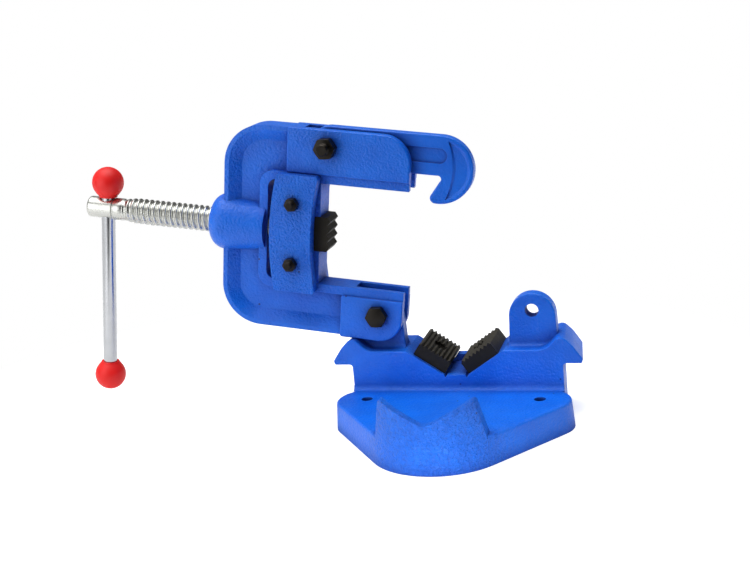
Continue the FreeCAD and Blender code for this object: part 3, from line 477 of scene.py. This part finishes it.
def plated_steel(name, tone, shade, rough, axis, line_size, line_depth):
    """Turned or rolled steel with a bright zinc or polished skin.

    The tool leaves fine rings square to the axis, which draw the highlights out. They are drawn
    coarser than the real ones, so that they show.
    """
    cloud_size = mm(14)
    shiniest = rough * 0.8
    dullest = rough * 1.25
    material, tree = new_material(name)
    where = add(tree, "TexCoord").outputs["Object"]
    along = add(tree, "VectorMath", {0: where, 1: tuple(axis)}, operation="DOT_PRODUCT")
    line_at = add(tree, "CombineXYZ", {"X": along.outputs["Value"]})
    lines = add(tree, "TexNoise", {"Vector": line_at.outputs[0], "Scale": 1 / line_size,
                                   "Detail": 3.0, "Roughness": 0.6})
    cloud = add(tree, "TexNoise", {"Vector": where, "Scale": 1 / cloud_size, "Detail": 3.0,
                                   "Roughness": 0.6})
    relief = add(tree, "Bump", {"Height": lines.outputs["Fac"], "Distance": line_depth,
                                "Strength": 0.7})
    base = add(tree, "Mix", {"Factor": cloud.outputs["Fac"], MIX_A: linear(tone),
                             MIX_B: linear(shade)}, data_type="RGBA")
    gloss = add(tree, "MapRange", {"Value": cloud.outputs["Fac"], "From Min": NOISE_LOW,
                                   "From Max": NOISE_HIGH, "To Min": shiniest,
                                   "To Max": dullest})
    shader = add(tree, "BsdfPrincipled", {
        "Base Color": base.outputs[MIX_OUT], "Metallic": 1.0, "Roughness": gloss.outputs[0],
        "Normal": relief.outputs[0]})
    add(tree, "OutputMaterial", {"Surface": shader.outputs[0]})
    return material


def moulded_plastic(name, tone, deep):
    """Injection-moulded polyethylene: bright red with a soft, slightly waxy gloss."""
    ripple_size = mm(6)
    fine_size = mm(0.7)
    ripple_depth = mm(0.25)
    material, tree = new_material(name)
    where = add(tree, "TexCoord").outputs["Object"]
    ripple = add(tree, "TexNoise", {"Vector": where, "Scale": 1 / ripple_size, "Detail": 2.0})
    fine = add(tree, "TexNoise", {"Vector": where, "Scale": 1 / fine_size, "Detail": 2.0})
    height = mixed_height(tree, [(ripple.outputs["Fac"], 1.0), (fine.outputs["Fac"], 0.15)])
    relief = add(tree, "Bump", {"Height": height, "Distance": ripple_depth, "Strength": 0.5})
    base = add(tree, "Mix", {"Factor": ripple.outputs["Fac"], MIX_A: linear(deep),
                             MIX_B: linear(tone)}, data_type="RGBA")
    shader = add(tree, "BsdfPrincipled", {
        "Base Color": base.outputs[MIX_OUT], "Roughness": 0.5, "IOR": 1.5,
        "Normal": relief.outputs[0]})
    add(tree, "OutputMaterial", {"Surface": shader.outputs[0]})
    return material


# Settings that a user would change

def length(name, description, millimetres):
    """Size in the scene's own unit, with its default in millimetres."""
    return bpy.props.FloatProperty(name=name, description=description,
                                   default=mm(millimetres), unit="LENGTH")


def share(name, description, default):
    """Number from 0 to 1."""
    return bpy.props.FloatProperty(name=name, description=description, default=default,
                                   min=0.0, max=1.0, subtype="FACTOR")


def strength(name, description, default):
    """Number that multiplies."""
    return bpy.props.FloatProperty(name=name, description=description, default=default, min=0.0)


def power(name, description, watts):
    """Power of a lamp."""
    return bpy.props.FloatProperty(name=name, description=description, default=watts,
                                   min=0.0, unit="POWER")


def colour(name, description, code):
    """Colour as an sRGB hex code."""
    return bpy.props.StringProperty(name=name, description=description + ", sRGB hex",
                                    default=code)


class VISE_PG_castings(bpy.types.PropertyGroup):
    enamel: colour("Enamel", "Enamel colour", "#0070ee")
    enamel_deep: colour("Deep enamel", "Enamel where it lies thick", "#0066e2")
    # Painted shade in corners, set by the occlusion mask
    corner_shade_colour: colour("Corner shade", "Shade painted into corners", "#00389a")
    # Painted shade in the grooves of the rough nose
    groove_shade_colour: colour("Groove shade", "Shade painted in the grooves of the rough nose", "#0044b4")
    # Painted shade at the bottom of an open pit
    pit_shade_colour: colour("Pit shade", "Shade painted at the bottom of an open pit", "#02246c")
    gloss_rough: share("Gloss", "Roughness of the enamel", 0.36)
    corner_dull: share("Dullness", "Roughness that corners have more", 0.4)
    pool_size: length("Pool", "How far from a corner the painted shade reaches", 18.0)
    grain_size: length("Sand grain", "Size of the pebbled skin", 2.4)
    grain_depth: length("Relief", "Depth of the casting's skin", 0.35)
    peel_size: length("Orange peel", "Size of the enamel's own ripple", 1.1)
    swell_size: length("Swell", "Length of the casting's broad waves", 24.0)
    worm_size: length("Rough nose", "Size of the rough skin on the nose", 3.4)
    worm_relief: strength("Nose relief", "How strongly the nose's rough skin stands out", 2.8)
    groove_shade_share: share("Grooves", "How much of their colour the nose's grooves show", 0.6)
    pit_spacing: length("Pit spacing", "Mean distance between pits", 24.0)
    pit_size: length("Pit size", "Width of a pit", 2.6)
    edge_round: length("Edge rounding", "Radius that edges appear to have", 1.0)


class VISE_PG_jaws(bpy.types.PropertyGroup):
    tone: colour("Jaw colour", "Blackened jaw steel", "#181716")
    # worn is the paler steel of faces that look up: wear, and painted light from above
    worn: colour("Worn jaw", "Jaw steel on faces that look up, worn and lit", "#57544d")
    rough: share("Jaw roughness", "Roughness of the jaws", 0.58)
    screw_tone: colour("Jaw screw colour", "Blackened screws in the lower jaws", "#1d1c1a")
    # Paler on faces that look up: wear, and painted light from above
    screw_worn_and_lit: colour("Worn jaw screw", "Jaw screws where they are rubbed", "#2e2c29")
    screw_rough: share("Jaw screw roughness", "Roughness of the jaw screws", 0.55)


class VISE_PG_bolts(bpy.types.PropertyGroup):
    tone: colour("Bolt colour", "Black oxide", "#2a2826")
    # worn is the paler oxide of faces that look up: wear, and painted light from above
    worn: colour("Worn colour", "Black oxide on faces that look up, worn and lit", "#3a3632")
    rough: share("Bolt roughness", "Roughness of the bolts and nuts", 0.4)
    large_flats: length("Large flats", "Hinge and latch bolts, across the flats", 19.0)
    large_shank: length("Large shank", "Radius of the hinge and latch bolts", 6.0)
    large_pitch: length("Large pitch", "Thread pitch of the hinge and latch bolts", 1.75)
    small_flats: length("Small flats", "Slide bolts, across the flats", 12.0)
    small_shank: length("Small shank", "Radius of the slide bolts", 4.0)
    small_pitch: length("Small pitch", "Thread pitch of the slide bolts", 1.25)


class VISE_PG_screw(bpy.types.PropertyGroup):
    zinc: colour("Zinc", "Bright zinc", "#d0d1cd")
    zinc_shade: colour("Zinc shade", "Zinc in its duller clouds", "#bfc0ba")
    rough: share("Zinc roughness", "Roughness of the zinc", 0.3)
    pitch: length("Pitch", "Thread pitch", 6.0)
    crest_radius: length("Crest radius", "Outer radius of the thread", 13.0)
    root_radius: length("Root radius", "Radius at the bottom of the thread", 10.4)
    head_long: length("Head", "Length of the head with the cross hole", 27.8)
    head_radius: length("Head radius", "Radius of the head", 10.7)
    collar_long: length("Collar", "Length of the plain collar behind the head", 11.0)
    collar_radius: length("Collar radius", "Radius of the collar", 11.2)
    neck_long: length("Neck", "Length of the neck in the slide", 8.6)
    neck_radius: length("Neck radius", "Radius of the neck", 9.0)
    button_long: length("Button", "Thickness of the button in the slide", 7.7)
    button_radius: length("Button radius", "Radius of the button", 12.0)


class VISE_PG_handle(bpy.types.PropertyGroup):
    steel: colour("Bar colour", "Polished steel of the bar", "#c6c8cb")
    steel_shade: colour("Bar shade", "Bar in its duller clouds", "#b4b6ba")
    rough: share("Bar roughness", "Roughness of the polished bar", 0.16)
    red: colour("Knob colour", "Plastic of the knobs", "#f00c08")
    red_deep: colour("Knob shade", "Deeper red of the knobs", "#ec0805")
    bar_radius: length("Bar radius", "Radius of the handle bar", 7.0)
    bar_play: length("Bar play", "Room round the bar in the screw's head", 0.06)
    ball_radius: length("Ball radius", "Radius of a knob's ball", 16.0)
    neck_radius: length("Neck radius", "Radius of a knob's mouth", 9.5)


class VISE_PG_studio(bpy.types.PropertyGroup):
    floor: colour("Floor", "Paper under the object", "#f4f4f4")
    floor_beyond: colour("Floor beyond", "Floor past the paper, as the object sees it", "#484848")
    glow: share("Glow", "Light of its own that the floor shows", 0.5)
    ambient: share("Ambient", "Strength of the tent's white walls", 0.42)
    dimmed: share("Dimmed", "Share of the light left in the tent's far right corner", 0.35)
    opening: share("Opening", "Strength of the tent's open side", 0.05)
    overhead: strength("Overhead", "How much brighter the tent's top is", 9.5)
    key: power("Key", "Power of the main lamp", 2.5)
    fill: power("Fill", "Power of the low lamp in front", 0.08)


# Pieces

class VISE_OT_enamel_castings(bpy.types.Operator):
    """Paints the five castings: the base, the yoke, the hook, the slide and its cover plate"""
    bl_idname = "vise.enamel_castings"
    bl_label = "Enamel the castings"

    def execute(self, context):
        look = context.scene.vise_castings
        slide = enamel_on_cast_iron("enamel_pebbled_casting", look, PEBBLE_SLIDE)
        finishes = {
            "base_casting": enamel_on_cast_iron("enamel_rough_casting", look, PEBBLE_BASE, True),
            "yoke_casting": enamel_on_cast_iron("enamel_yoke_casting", look, PEBBLE_YOKE),
            "latch_hook": enamel_on_cast_iron("enamel_hook_casting", look, PEBBLE_HOOK),
            "slide_body": slide,
            "slide_cover_plate": slide,
        }
        for node, material in finishes.items():
            dress(frame["nodes"][node], material)
        return {"FINISHED"}


class VISE_OT_blacken_jaws(bpy.types.Operator):
    """Blackens the toothed jaws and the screws that hold the lower ones"""
    bl_idname = "vise.blacken_jaws"
    bl_label = "Blacken the jaws"

    def execute(self, context):
        look = context.scene.vise_jaws
        jaw = blackened_steel("black_oxide_jaw_steel", look.tone, look.worn, look.rough)
        screw = blackened_steel("black_oxide_screw_steel", look.screw_tone, look.screw_worn_and_lit,
                                look.screw_rough)
        for node in ("lower_jaw_left", "lower_jaw_right", "upper_jaw"):
            dress(frame["nodes"][node], jaw)
        for node in ("lower_jaw_screw_left", "lower_jaw_screw_right"):
            dress(frame["nodes"][node], screw)
        return {"FINISHED"}


def hexagon_radius(angle, flats):
    """Distance from the middle of a hexagon to its side, or to its worn corner."""
    step = math.radians(60)
    within = (angle % step) - step / 2
    return flats / 2 * min(1 / math.cos(within), CORNER_WORN)


def hexagon_surface(bm, flats, high, place):
    """Hexagon head or nut from local 0 to high, with its corners chamfered at the high end."""
    drop = (flats / math.sqrt(3) - flats / 2) * math.tan(CHAMFER)
    heights = [0, drop] + steps_between(high - drop, high, drop / CHAMFER_RINGS)

    def radius_at(height, angle):
        return min(hexagon_radius(angle, flats),
                   flats / 2 * FACE_SHARE + (high - height) / math.tan(CHAMFER))

    ring_surface(bm, heights, radius_at, ROUND_STEPS, place)


def threaded_rod(bm, radius, pitch, plain_to, end, place):
    """Shank: plain up to plain_to, then threaded to its chamfered end."""
    depth = pitch * THREAD_SHARE
    heights = [0] + steps_between(plain_to, end, pitch / ROD_TURN_RINGS)

    def radius_at(height, angle):
        if height <= plain_to:
            return radius
        wave = 0.5 + 0.5 * math.cos(TAU * (height / pitch - angle / TAU))
        fade = min(1, (height - plain_to) / pitch)
        cut = radius - depth * (1 - wave) * fade
        return min(cut, radius - depth * TIP_SHARE + (end - height))

    ring_surface(bm, heights, radius_at, ROD_STEPS, place)


class VISE_OT_fit_bolts(bpy.types.Operator):
    """Builds the bolts and nuts with their chamfers and threaded tips"""
    bl_idname = "vise.fit_bolts"
    bl_label = "Fit the bolts"

    def execute(self, context):
        look = context.scene.vise_bolts
        steel = blackened_steel("black_oxide_bolt_steel", look.tone, look.worn, look.rough)
        large = (look.large_flats, look.large_shank, look.large_pitch)
        small = (look.small_flats, look.small_shank, look.small_pitch)
        for bolt, nut, body, size, head_front in (
                ("hinge_bolt", "hinge_nut", "yoke", large, True),
                ("latch_bolt", "latch_nut", "yoke", large, False),
                ("slide_bolt_lower", "slide_nut_lower", "slide", small, False),
                ("slide_bolt_upper", "slide_nut_upper", "slide", small, False)):
            self.fit(bolt, nut, body, size, head_front, steel)
        return {"FINISHED"}

    def fit(self, bolt, nut, body, size, head_front, steel):
        """One bolt with its nut, drawn along local Z from the outer face of the bolt's head."""
        flats, shank, pitch = size
        low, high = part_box(bolt)
        nut_low, nut_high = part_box(nut)
        if head_front:
            axis, head_end, tip_end = BACK, low[1], high[1]
            nut_from, nut_to = nut_low[1], nut_high[1]
        else:
            axis, head_end, tip_end = FRONT, high[1], low[1]
            nut_from, nut_to = nut_high[1], nut_low[1]
        # Head and nut press on faces that lie evenly about the middle of the cheeks
        grip_from = 2 * CHEEK_MIDDLE - nut_from
        head_high, rod_end, nut_start, nut_stop = (
            abs(depth - head_end) for depth in (grip_from, tip_end, nut_from, nut_to))
        rod_start = head_high / 2
        base = box_middle(bolt)
        base.y = head_end
        place = frame_on(base, axis)

        def build_bolt(bm):
            head = place @ Matrix.Translation((0, 0, head_high)) @ Matrix.Rotation(
                math.pi, 4, "X")
            hexagon_surface(bm, flats, head_high, head)
            rod = place @ Matrix.Translation((0, 0, rod_start))
            threaded_rod(bm, shank, pitch, nut_start - rod_start, rod_end - rod_start, rod)

        def build_nut(bm):
            seat = place @ Matrix.Translation((0, 0, nut_start))
            hexagon_surface(bm, flats, nut_stop - nut_start, seat)

        for node, build in ((bolt, build_bolt), (nut, build_nut)):
            make_piece(node + "_detailed", build, steel, body, (node,),
                       SMOOTH_CRISP)


class VISE_OT_roll_screw(bpy.types.Operator):
    """Builds the screw with its round-crested thread, its head and its button"""
    bl_idname = "vise.roll_screw"
    bl_label = "Roll the screw"

    def execute(self, context):
        look = context.scene.vise_screw
        handle = context.scene.vise_handle
        line_size = mm(0.5)
        line_depth = mm(0.03)
        origin = Vector(JOINTS["screw_turn"]["pos_m"])
        outer, inner = extent("screw_spindle", SCREW_AXIS, origin)
        place = frame_on(origin + SCREW_AXIS * outer, SCREW_AXIS)
        zinc = plated_steel("zinc_plated_rolled_steel", look.zinc, look.zinc_shade, look.rough,
                            SCREW_AXIS, line_size, line_depth)
        self.build_thread(look, inner - outer, place, zinc)
        head = self.build_head(look, place, zinc)
        self.drill(head, handle.bar_radius + handle.bar_play)
        # Drilling leaves a new mesh, which is dressed and smoothed again
        dress(head, zinc)
        smooth_by_angle(head, SMOOTH_CRISP)
        return {"FINISHED"}

    def build_thread(self, look, total, place, zinc):
        """Thread, neck and button; total is the screw's length from its head's outer end."""
        neck_sunk = mm(2)
        neck_rise = mm(0.01)
        button_from = total - look.button_long
        thread_from = look.head_long + look.collar_long
        thread_to = button_from - look.neck_long
        first_crest = look.collar_radius - FIRST_SUNK
        depth = look.crest_radius - look.root_radius

        def thread_radius(height, angle):
            wave = ease(0.5 + 0.5 * math.cos(TAU * (height / look.pitch) - angle))
            rise = min(1, (height - thread_from) / (look.pitch * RISE_TURNS))
            crest = first_crest + (look.crest_radius - first_crest) * rise
            root = crest - depth * (FIRST_DEPTH + (1 - FIRST_DEPTH) * rise)
            return root + (crest - root) * wave

        def build(bm):
            heights = steps_between(thread_from, thread_to, look.pitch / THREAD_TURN_RINGS)
            ring_surface(bm, heights, thread_radius, THREAD_STEPS, place)
            neck = [(look.neck_radius, thread_to - neck_sunk),
                    (look.neck_radius, button_from + neck_rise)]
            button = (outline(look.button_radius, button_from, BUTTON_START)
                      + outline(look.button_radius, total, BUTTON_FINISH))
            turned_surface(bm, neck + button, BUTTON_STEPS, place)

        make_piece("screw_thread", build, zinc, "spindle",
                   ("screw_spindle",), SMOOTH_THREAD)

    def build_head(self, look, place, zinc):
        """Round head with a groove behind it, and the plain collar before the thread.

        Even rings along the head keep its faces small, so that it shades well once drilled.
        """
        rings_from = mm(3.4)
        ring_step = mm(2)
        head = look.head_radius
        head_end = look.head_long
        collar = look.collar_radius
        thread_from = head_end + look.collar_long

        def build(bm):
            profile = outline(head, 0, HEAD_END)
            profile += [(head, z) for z in
                        steps_between(rings_from, head_end - ring_step, ring_step)]
            profile += outline(head, head_end, HEAD_GROOVE)
            profile += outline(collar, head_end, COLLAR_START)
            profile += outline(collar, thread_from, COLLAR_FINISH)
            turned_surface(bm, profile, ROUND_STEPS, place)

        return make_piece("screw_head", build, zinc, "spindle", (),
                          SMOOTH_CRISP)

    def drill(self, piece, radius):
        """Cuts the hole that the handle bar slides through."""
        place = frame_on(box_middle("handle_bar"), HANDLE_AXIS)
        profile = [(radius, -DRILL_REACH), (radius, DRILL_REACH)]
        cylinder = build_object("cross_drill", lambda bm: turned_surface(
            bm, profile, DRILL_STEPS, place))
        cut = piece.modifiers.new("cross_hole", "BOOLEAN")
        cut.operation = "DIFFERENCE"
        cut.solver = "EXACT"
        cut.object = cylinder
        bpy.context.view_layer.update()
        graph = bpy.context.evaluated_depsgraph_get()
        drilled = bpy.data.meshes.new_from_object(piece.evaluated_get(graph))
        piece.modifiers.clear()
        piece.data = drilled
        bpy.data.objects.remove(cylinder)


class VISE_OT_fit_handle(bpy.types.Operator):
    """Builds the sliding bar and its two ball knobs"""
    bl_idname = "vise.fit_handle"
    bl_label = "Fit the handle"

    def execute(self, context):
        look = context.scene.vise_handle
        line_size = mm(3)
        line_depth = mm(0.01)
        edge = mm(0.8)
        ring_step = mm(4)
        middle = box_middle("handle_bar")
        start, end = extent("handle_bar", HANDLE_AXIS, middle)
        place = frame_on(middle, HANDLE_AXIS)
        polished = plated_steel("polished_steel", look.steel, look.steel_shade, look.rough,
                                HANDLE_AXIS, line_size, line_depth)
        radius = look.bar_radius

        def build_bar(bm):
            profile = [(radius - edge, start)]
            profile += [(radius, z) for z in steps_between(start + edge, end - edge, ring_step)]
            profile.append((radius - edge, end))
            turned_surface(bm, profile, ROUND_STEPS, place)

        make_piece("handle_rod", build_bar, polished, "handle",
                   ("handle_bar",), SMOOTH_CRISP)
        red = moulded_plastic("red_moulded_plastic", look.red, look.red_deep)
        for node, outward in (("knob_lower", -1), ("knob_upper", 1)):
            self.build_knob(node, HANDLE_AXIS * outward, middle, look, red)
        return {"FINISHED"}

    def build_knob(self, node, axis, middle, look, red):
        """Ball with a flared neck, hollowed a little where the bar goes in."""
        bar_room = mm(0.02)
        hollow = mm(0.5)
        ball = look.ball_radius
        neck = look.neck_radius
        mouth, top = extent(node, axis, middle)
        centre = top - ball
        meet = math.radians(KNOB_MEET)
        meet_radius = ball * math.cos(meet)
        meet_height = centre + ball * math.sin(meet)
        profile = [(look.bar_radius + bar_room, mouth + hollow)]
        profile += outline(neck, mouth, KNOB_LIP)
        lip_height = profile[-1][1]
        for i in range(1, FLARE_RINGS):
            part = i / FLARE_RINGS
            bend = ease(part) * FLARE_BEND + part * (1 - FLARE_BEND)
            profile.append((neck + (meet_radius - neck) * bend,
                            lip_height + (meet_height - lip_height) * part))
        for i in range(BALL_RINGS + 1):
            angle = meet + (math.radians(KNOB_TOP) - meet) * i / BALL_RINGS
            profile.append((ball * math.cos(angle), centre + ball * math.sin(angle)))

        def build(bm):
            turned_surface(bm, profile, ROUND_STEPS, frame_on(middle, axis))

        make_piece(node + "_moulded", build, red, "handle", (node,), SMOOTH_KNOB)


class VISE_OT_set_studio(bpy.types.Operator):
    """Sets the pale floor, the soft light and the camera at the photograph's view"""
    bl_idname = "vise.set_studio"
    bl_label = "Set the studio"

    def execute(self, context):
        look = context.scene.vise_studio
        self.lay_floor(look)
        self.light_world(look)
        self.hang_lamp("key", look.key, **KEY_LAMP)
        self.hang_lamp("fill", look.fill, **FILL_LAMP)
        self.set_camera()
        context.scene.view_settings.view_transform = "Standard"
        return {"FINISHED"}

    def lay_floor(self, look):
        """Matt white paper, and in front of it the darker floor that only reflections show.

        To the camera the paper glows a little, so that shadows on it stay pale, and turns to
        plain white farther out.
        """
        mesh = bpy.data.meshes.new("floor")
        corners = [(x * FLOOR_HALF, y * FLOOR_HALF, 0)
                   for x, y in ((-1, -1), (1, -1), (1, 1), (-1, 1))]
        mesh.from_pydata(corners, [], [(0, 1, 2, 3)])
        floor = bpy.data.objects.new("floor", mesh)
        floor.location.z = FLOOR_DROP
        bpy.context.scene.collection.objects.link(floor)
        material, tree = new_material("pale_floor")
        path = add(tree, "LightPath")
        where = add(tree, "TexCoord").outputs["Object"]
        spot = add(tree, "SeparateXYZ", {0: where})
        ahead = add(tree, "MapRange", {"Value": spot.outputs["Y"], "From Min": PAPER_FRONT[0],
                                       "From Max": PAPER_FRONT[1]})
        right = add(tree, "MapRange", {"Value": spot.outputs["X"], "From Min": PAPER_SIDE[0],
                                       "From Max": PAPER_SIDE[1]})
        paper_end = add(tree, "Math", {0: ahead.outputs[0], 1: right.outputs[0]},
                        operation="MULTIPLY")
        middle = add(tree, "VectorMath", {0: where, 1: STAGE_MIDDLE}, operation="SUBTRACT")
        away = add(tree, "VectorMath", {0: middle.outputs[0]}, operation="LENGTH")
        tone = add(tree, "Mix", {"Factor": paper_end.outputs[0], MIX_A: linear(look.floor),
                                 MIX_B: linear(look.floor_beyond)}, data_type="RGBA")
        plain = add(tree, "BsdfDiffuse", {"Color": tone.outputs[MIX_OUT]})
        glow = add(tree, "Emission", {"Color": WHITE, "Strength": look.glow})
        both = add(tree, "AddShader", {0: plain.outputs[0], 1: glow.outputs[0]})
        white = add(tree, "Emission", {"Color": WHITE, "Strength": 1.0})
        far = add(tree, "MapRange", {"Value": away.outputs["Value"], "From Min": WHITE_FROM[0],
                                     "From Max": WHITE_FROM[1]})
        paper = add(tree, "MixShader", {0: far.outputs[0], 1: both.outputs[0],
                                        2: white.outputs[0]})
        seen = add(tree, "MixShader", {0: path.outputs["Is Camera Ray"], 1: plain.outputs[0],
                                       2: paper.outputs[0]})
        add(tree, "OutputMaterial", {"Surface": seen.outputs[0]})
        dress(floor, material)

    def light_world(self, look):
        """Light tent: brightest overhead, dark at its opening, dimmer in its far right corner.

        The camera itself sees plain white.
        """
        world = bpy.data.worlds.new("studio_world")
        bpy.context.scene.world = world
        world.use_nodes = True
        tree = world.node_tree
        tree.nodes.clear()
        direction = add(tree, "TexCoord").outputs["Generated"]
        parts = []
        for towards, span, near, far in (
                (OPENING_DIRECTION, OPENING_SPAN, look.ambient, look.opening),
                (DIM_DIRECTION, DIM_SPAN, 1.0, look.dimmed)):
            cosine = add(tree, "VectorMath", {0: direction, 1: towards},
                         operation="DOT_PRODUCT")
            parts.append(add(tree, "MapRange", {
                "Value": cosine.outputs["Value"], "From Min": span[0], "From Max": span[1],
                "To Min": near, "To Max": far}, interpolation_type="SMOOTHSTEP"))
        height = add(tree, "SeparateXYZ", {0: direction})
        parts.append(add(tree, "MapRange", {
            "Value": height.outputs["Z"], "From Min": OVERHEAD_SPAN[0],
            "From Max": OVERHEAD_SPAN[1], "To Min": 1.0, "To Max": look.overhead}))
        sides = add(tree, "Math", {0: parts[0].outputs[0], 1: parts[1].outputs[0]},
                    operation="MULTIPLY")
        tent = add(tree, "Math", {0: sides.outputs[0], 1: parts[2].outputs[0]},
                   operation="MULTIPLY")
        path = add(tree, "LightPath")
        light = add(tree, "Math", {0: tent.outputs[0], 1: path.outputs["Is Camera Ray"]},
                    operation="MAXIMUM")
        sky = add(tree, "Background", {"Color": WHITE, "Strength": light.outputs[0]})
        add(tree, "OutputWorld", {"Surface": sky.outputs[0]})

    def hang_lamp(self, name, watts, place, target, size, spread):
        """Round area lamp at a place, turned towards its target."""
        lamp = bpy.data.lights.new(name, "AREA")
        lamp.shape = "DISK"
        lamp.size = size
        lamp.energy = watts
        lamp.spread = math.radians(spread)
        holder = bpy.data.objects.new(name, lamp)
        holder.location = place
        holder.rotation_mode = "QUATERNION"
        holder.rotation_quaternion = (target - place).to_track_quat("-Z", "Y")
        bpy.context.scene.collection.objects.link(holder)

    def set_camera(self):
        """Camera turned by yaw, tilted down by pitch and then rolled about its own view."""
        yaw, pitch, roll = (math.radians(a) for a in (CAMERA_YAW, CAMERA_PITCH, CAMERA_ROLL))
        look = Vector((-math.sin(yaw) * math.cos(pitch), math.cos(yaw) * math.cos(pitch),
                       -math.sin(pitch)))
        level = Vector((math.cos(yaw), math.sin(yaw), 0))
        upright = level.cross(look)
        right = level * math.cos(roll) + upright * math.sin(roll)
        above = upright * math.cos(roll) - level * math.sin(roll)
        data = bpy.data.cameras.new("photo_camera")
        data.sensor_width = SENSOR_WIDTH
        data.lens = CAMERA_LENS
        camera = bpy.data.objects.new("photo_camera", data)
        turn = Matrix((right, above, -look)).transposed().to_4x4()
        camera.matrix_world = Matrix.Translation(CAMERA_PLACE) @ turn
        bpy.context.scene.collection.objects.link(camera)
        bpy.context.scene.camera = camera


OPERATORS = (VISE_OT_enamel_castings, VISE_OT_blacken_jaws, VISE_OT_fit_bolts,
             VISE_OT_roll_screw, VISE_OT_fit_handle, VISE_OT_set_studio)


class VISE_PT_panel(bpy.types.Panel):
    """Lists the steps that dress the vise"""
    bl_idname = "VISE_PT_panel"
    bl_label = "Pipe Vise"
    bl_space_type = "VIEW_3D"
    bl_region_type = "UI"
    bl_category = "Pipe Vise"

    def draw(self, context):
        for operator in OPERATORS:
            self.layout.operator(operator.bl_idname)


GROUPS = {"vise_castings": VISE_PG_castings, "vise_jaws": VISE_PG_jaws,
          "vise_bolts": VISE_PG_bolts, "vise_screw": VISE_PG_screw,
          "vise_handle": VISE_PG_handle, "vise_studio": VISE_PG_studio}


def register():
    for name, group in GROUPS.items():
        bpy.utils.register_class(group)
        setattr(bpy.types.Scene, name, bpy.props.PointerProperty(type=group))
    for operator in OPERATORS:
        bpy.utils.register_class(operator)
    bpy.utils.register_class(VISE_PT_panel)


def unregister():
    bpy.utils.unregister_class(VISE_PT_panel)
    for operator in reversed(OPERATORS):
        bpy.utils.unregister_class(operator)
    for name, group in GROUPS.items():
        delattr(bpy.types.Scene, name)
        bpy.utils.unregister_class(group)


def main():
    register()
    for operator in OPERATORS:
        group, action = operator.bl_idname.split(".")
        getattr(getattr(bpy.ops, group), action)()


if __name__ == "__main__":
    main()
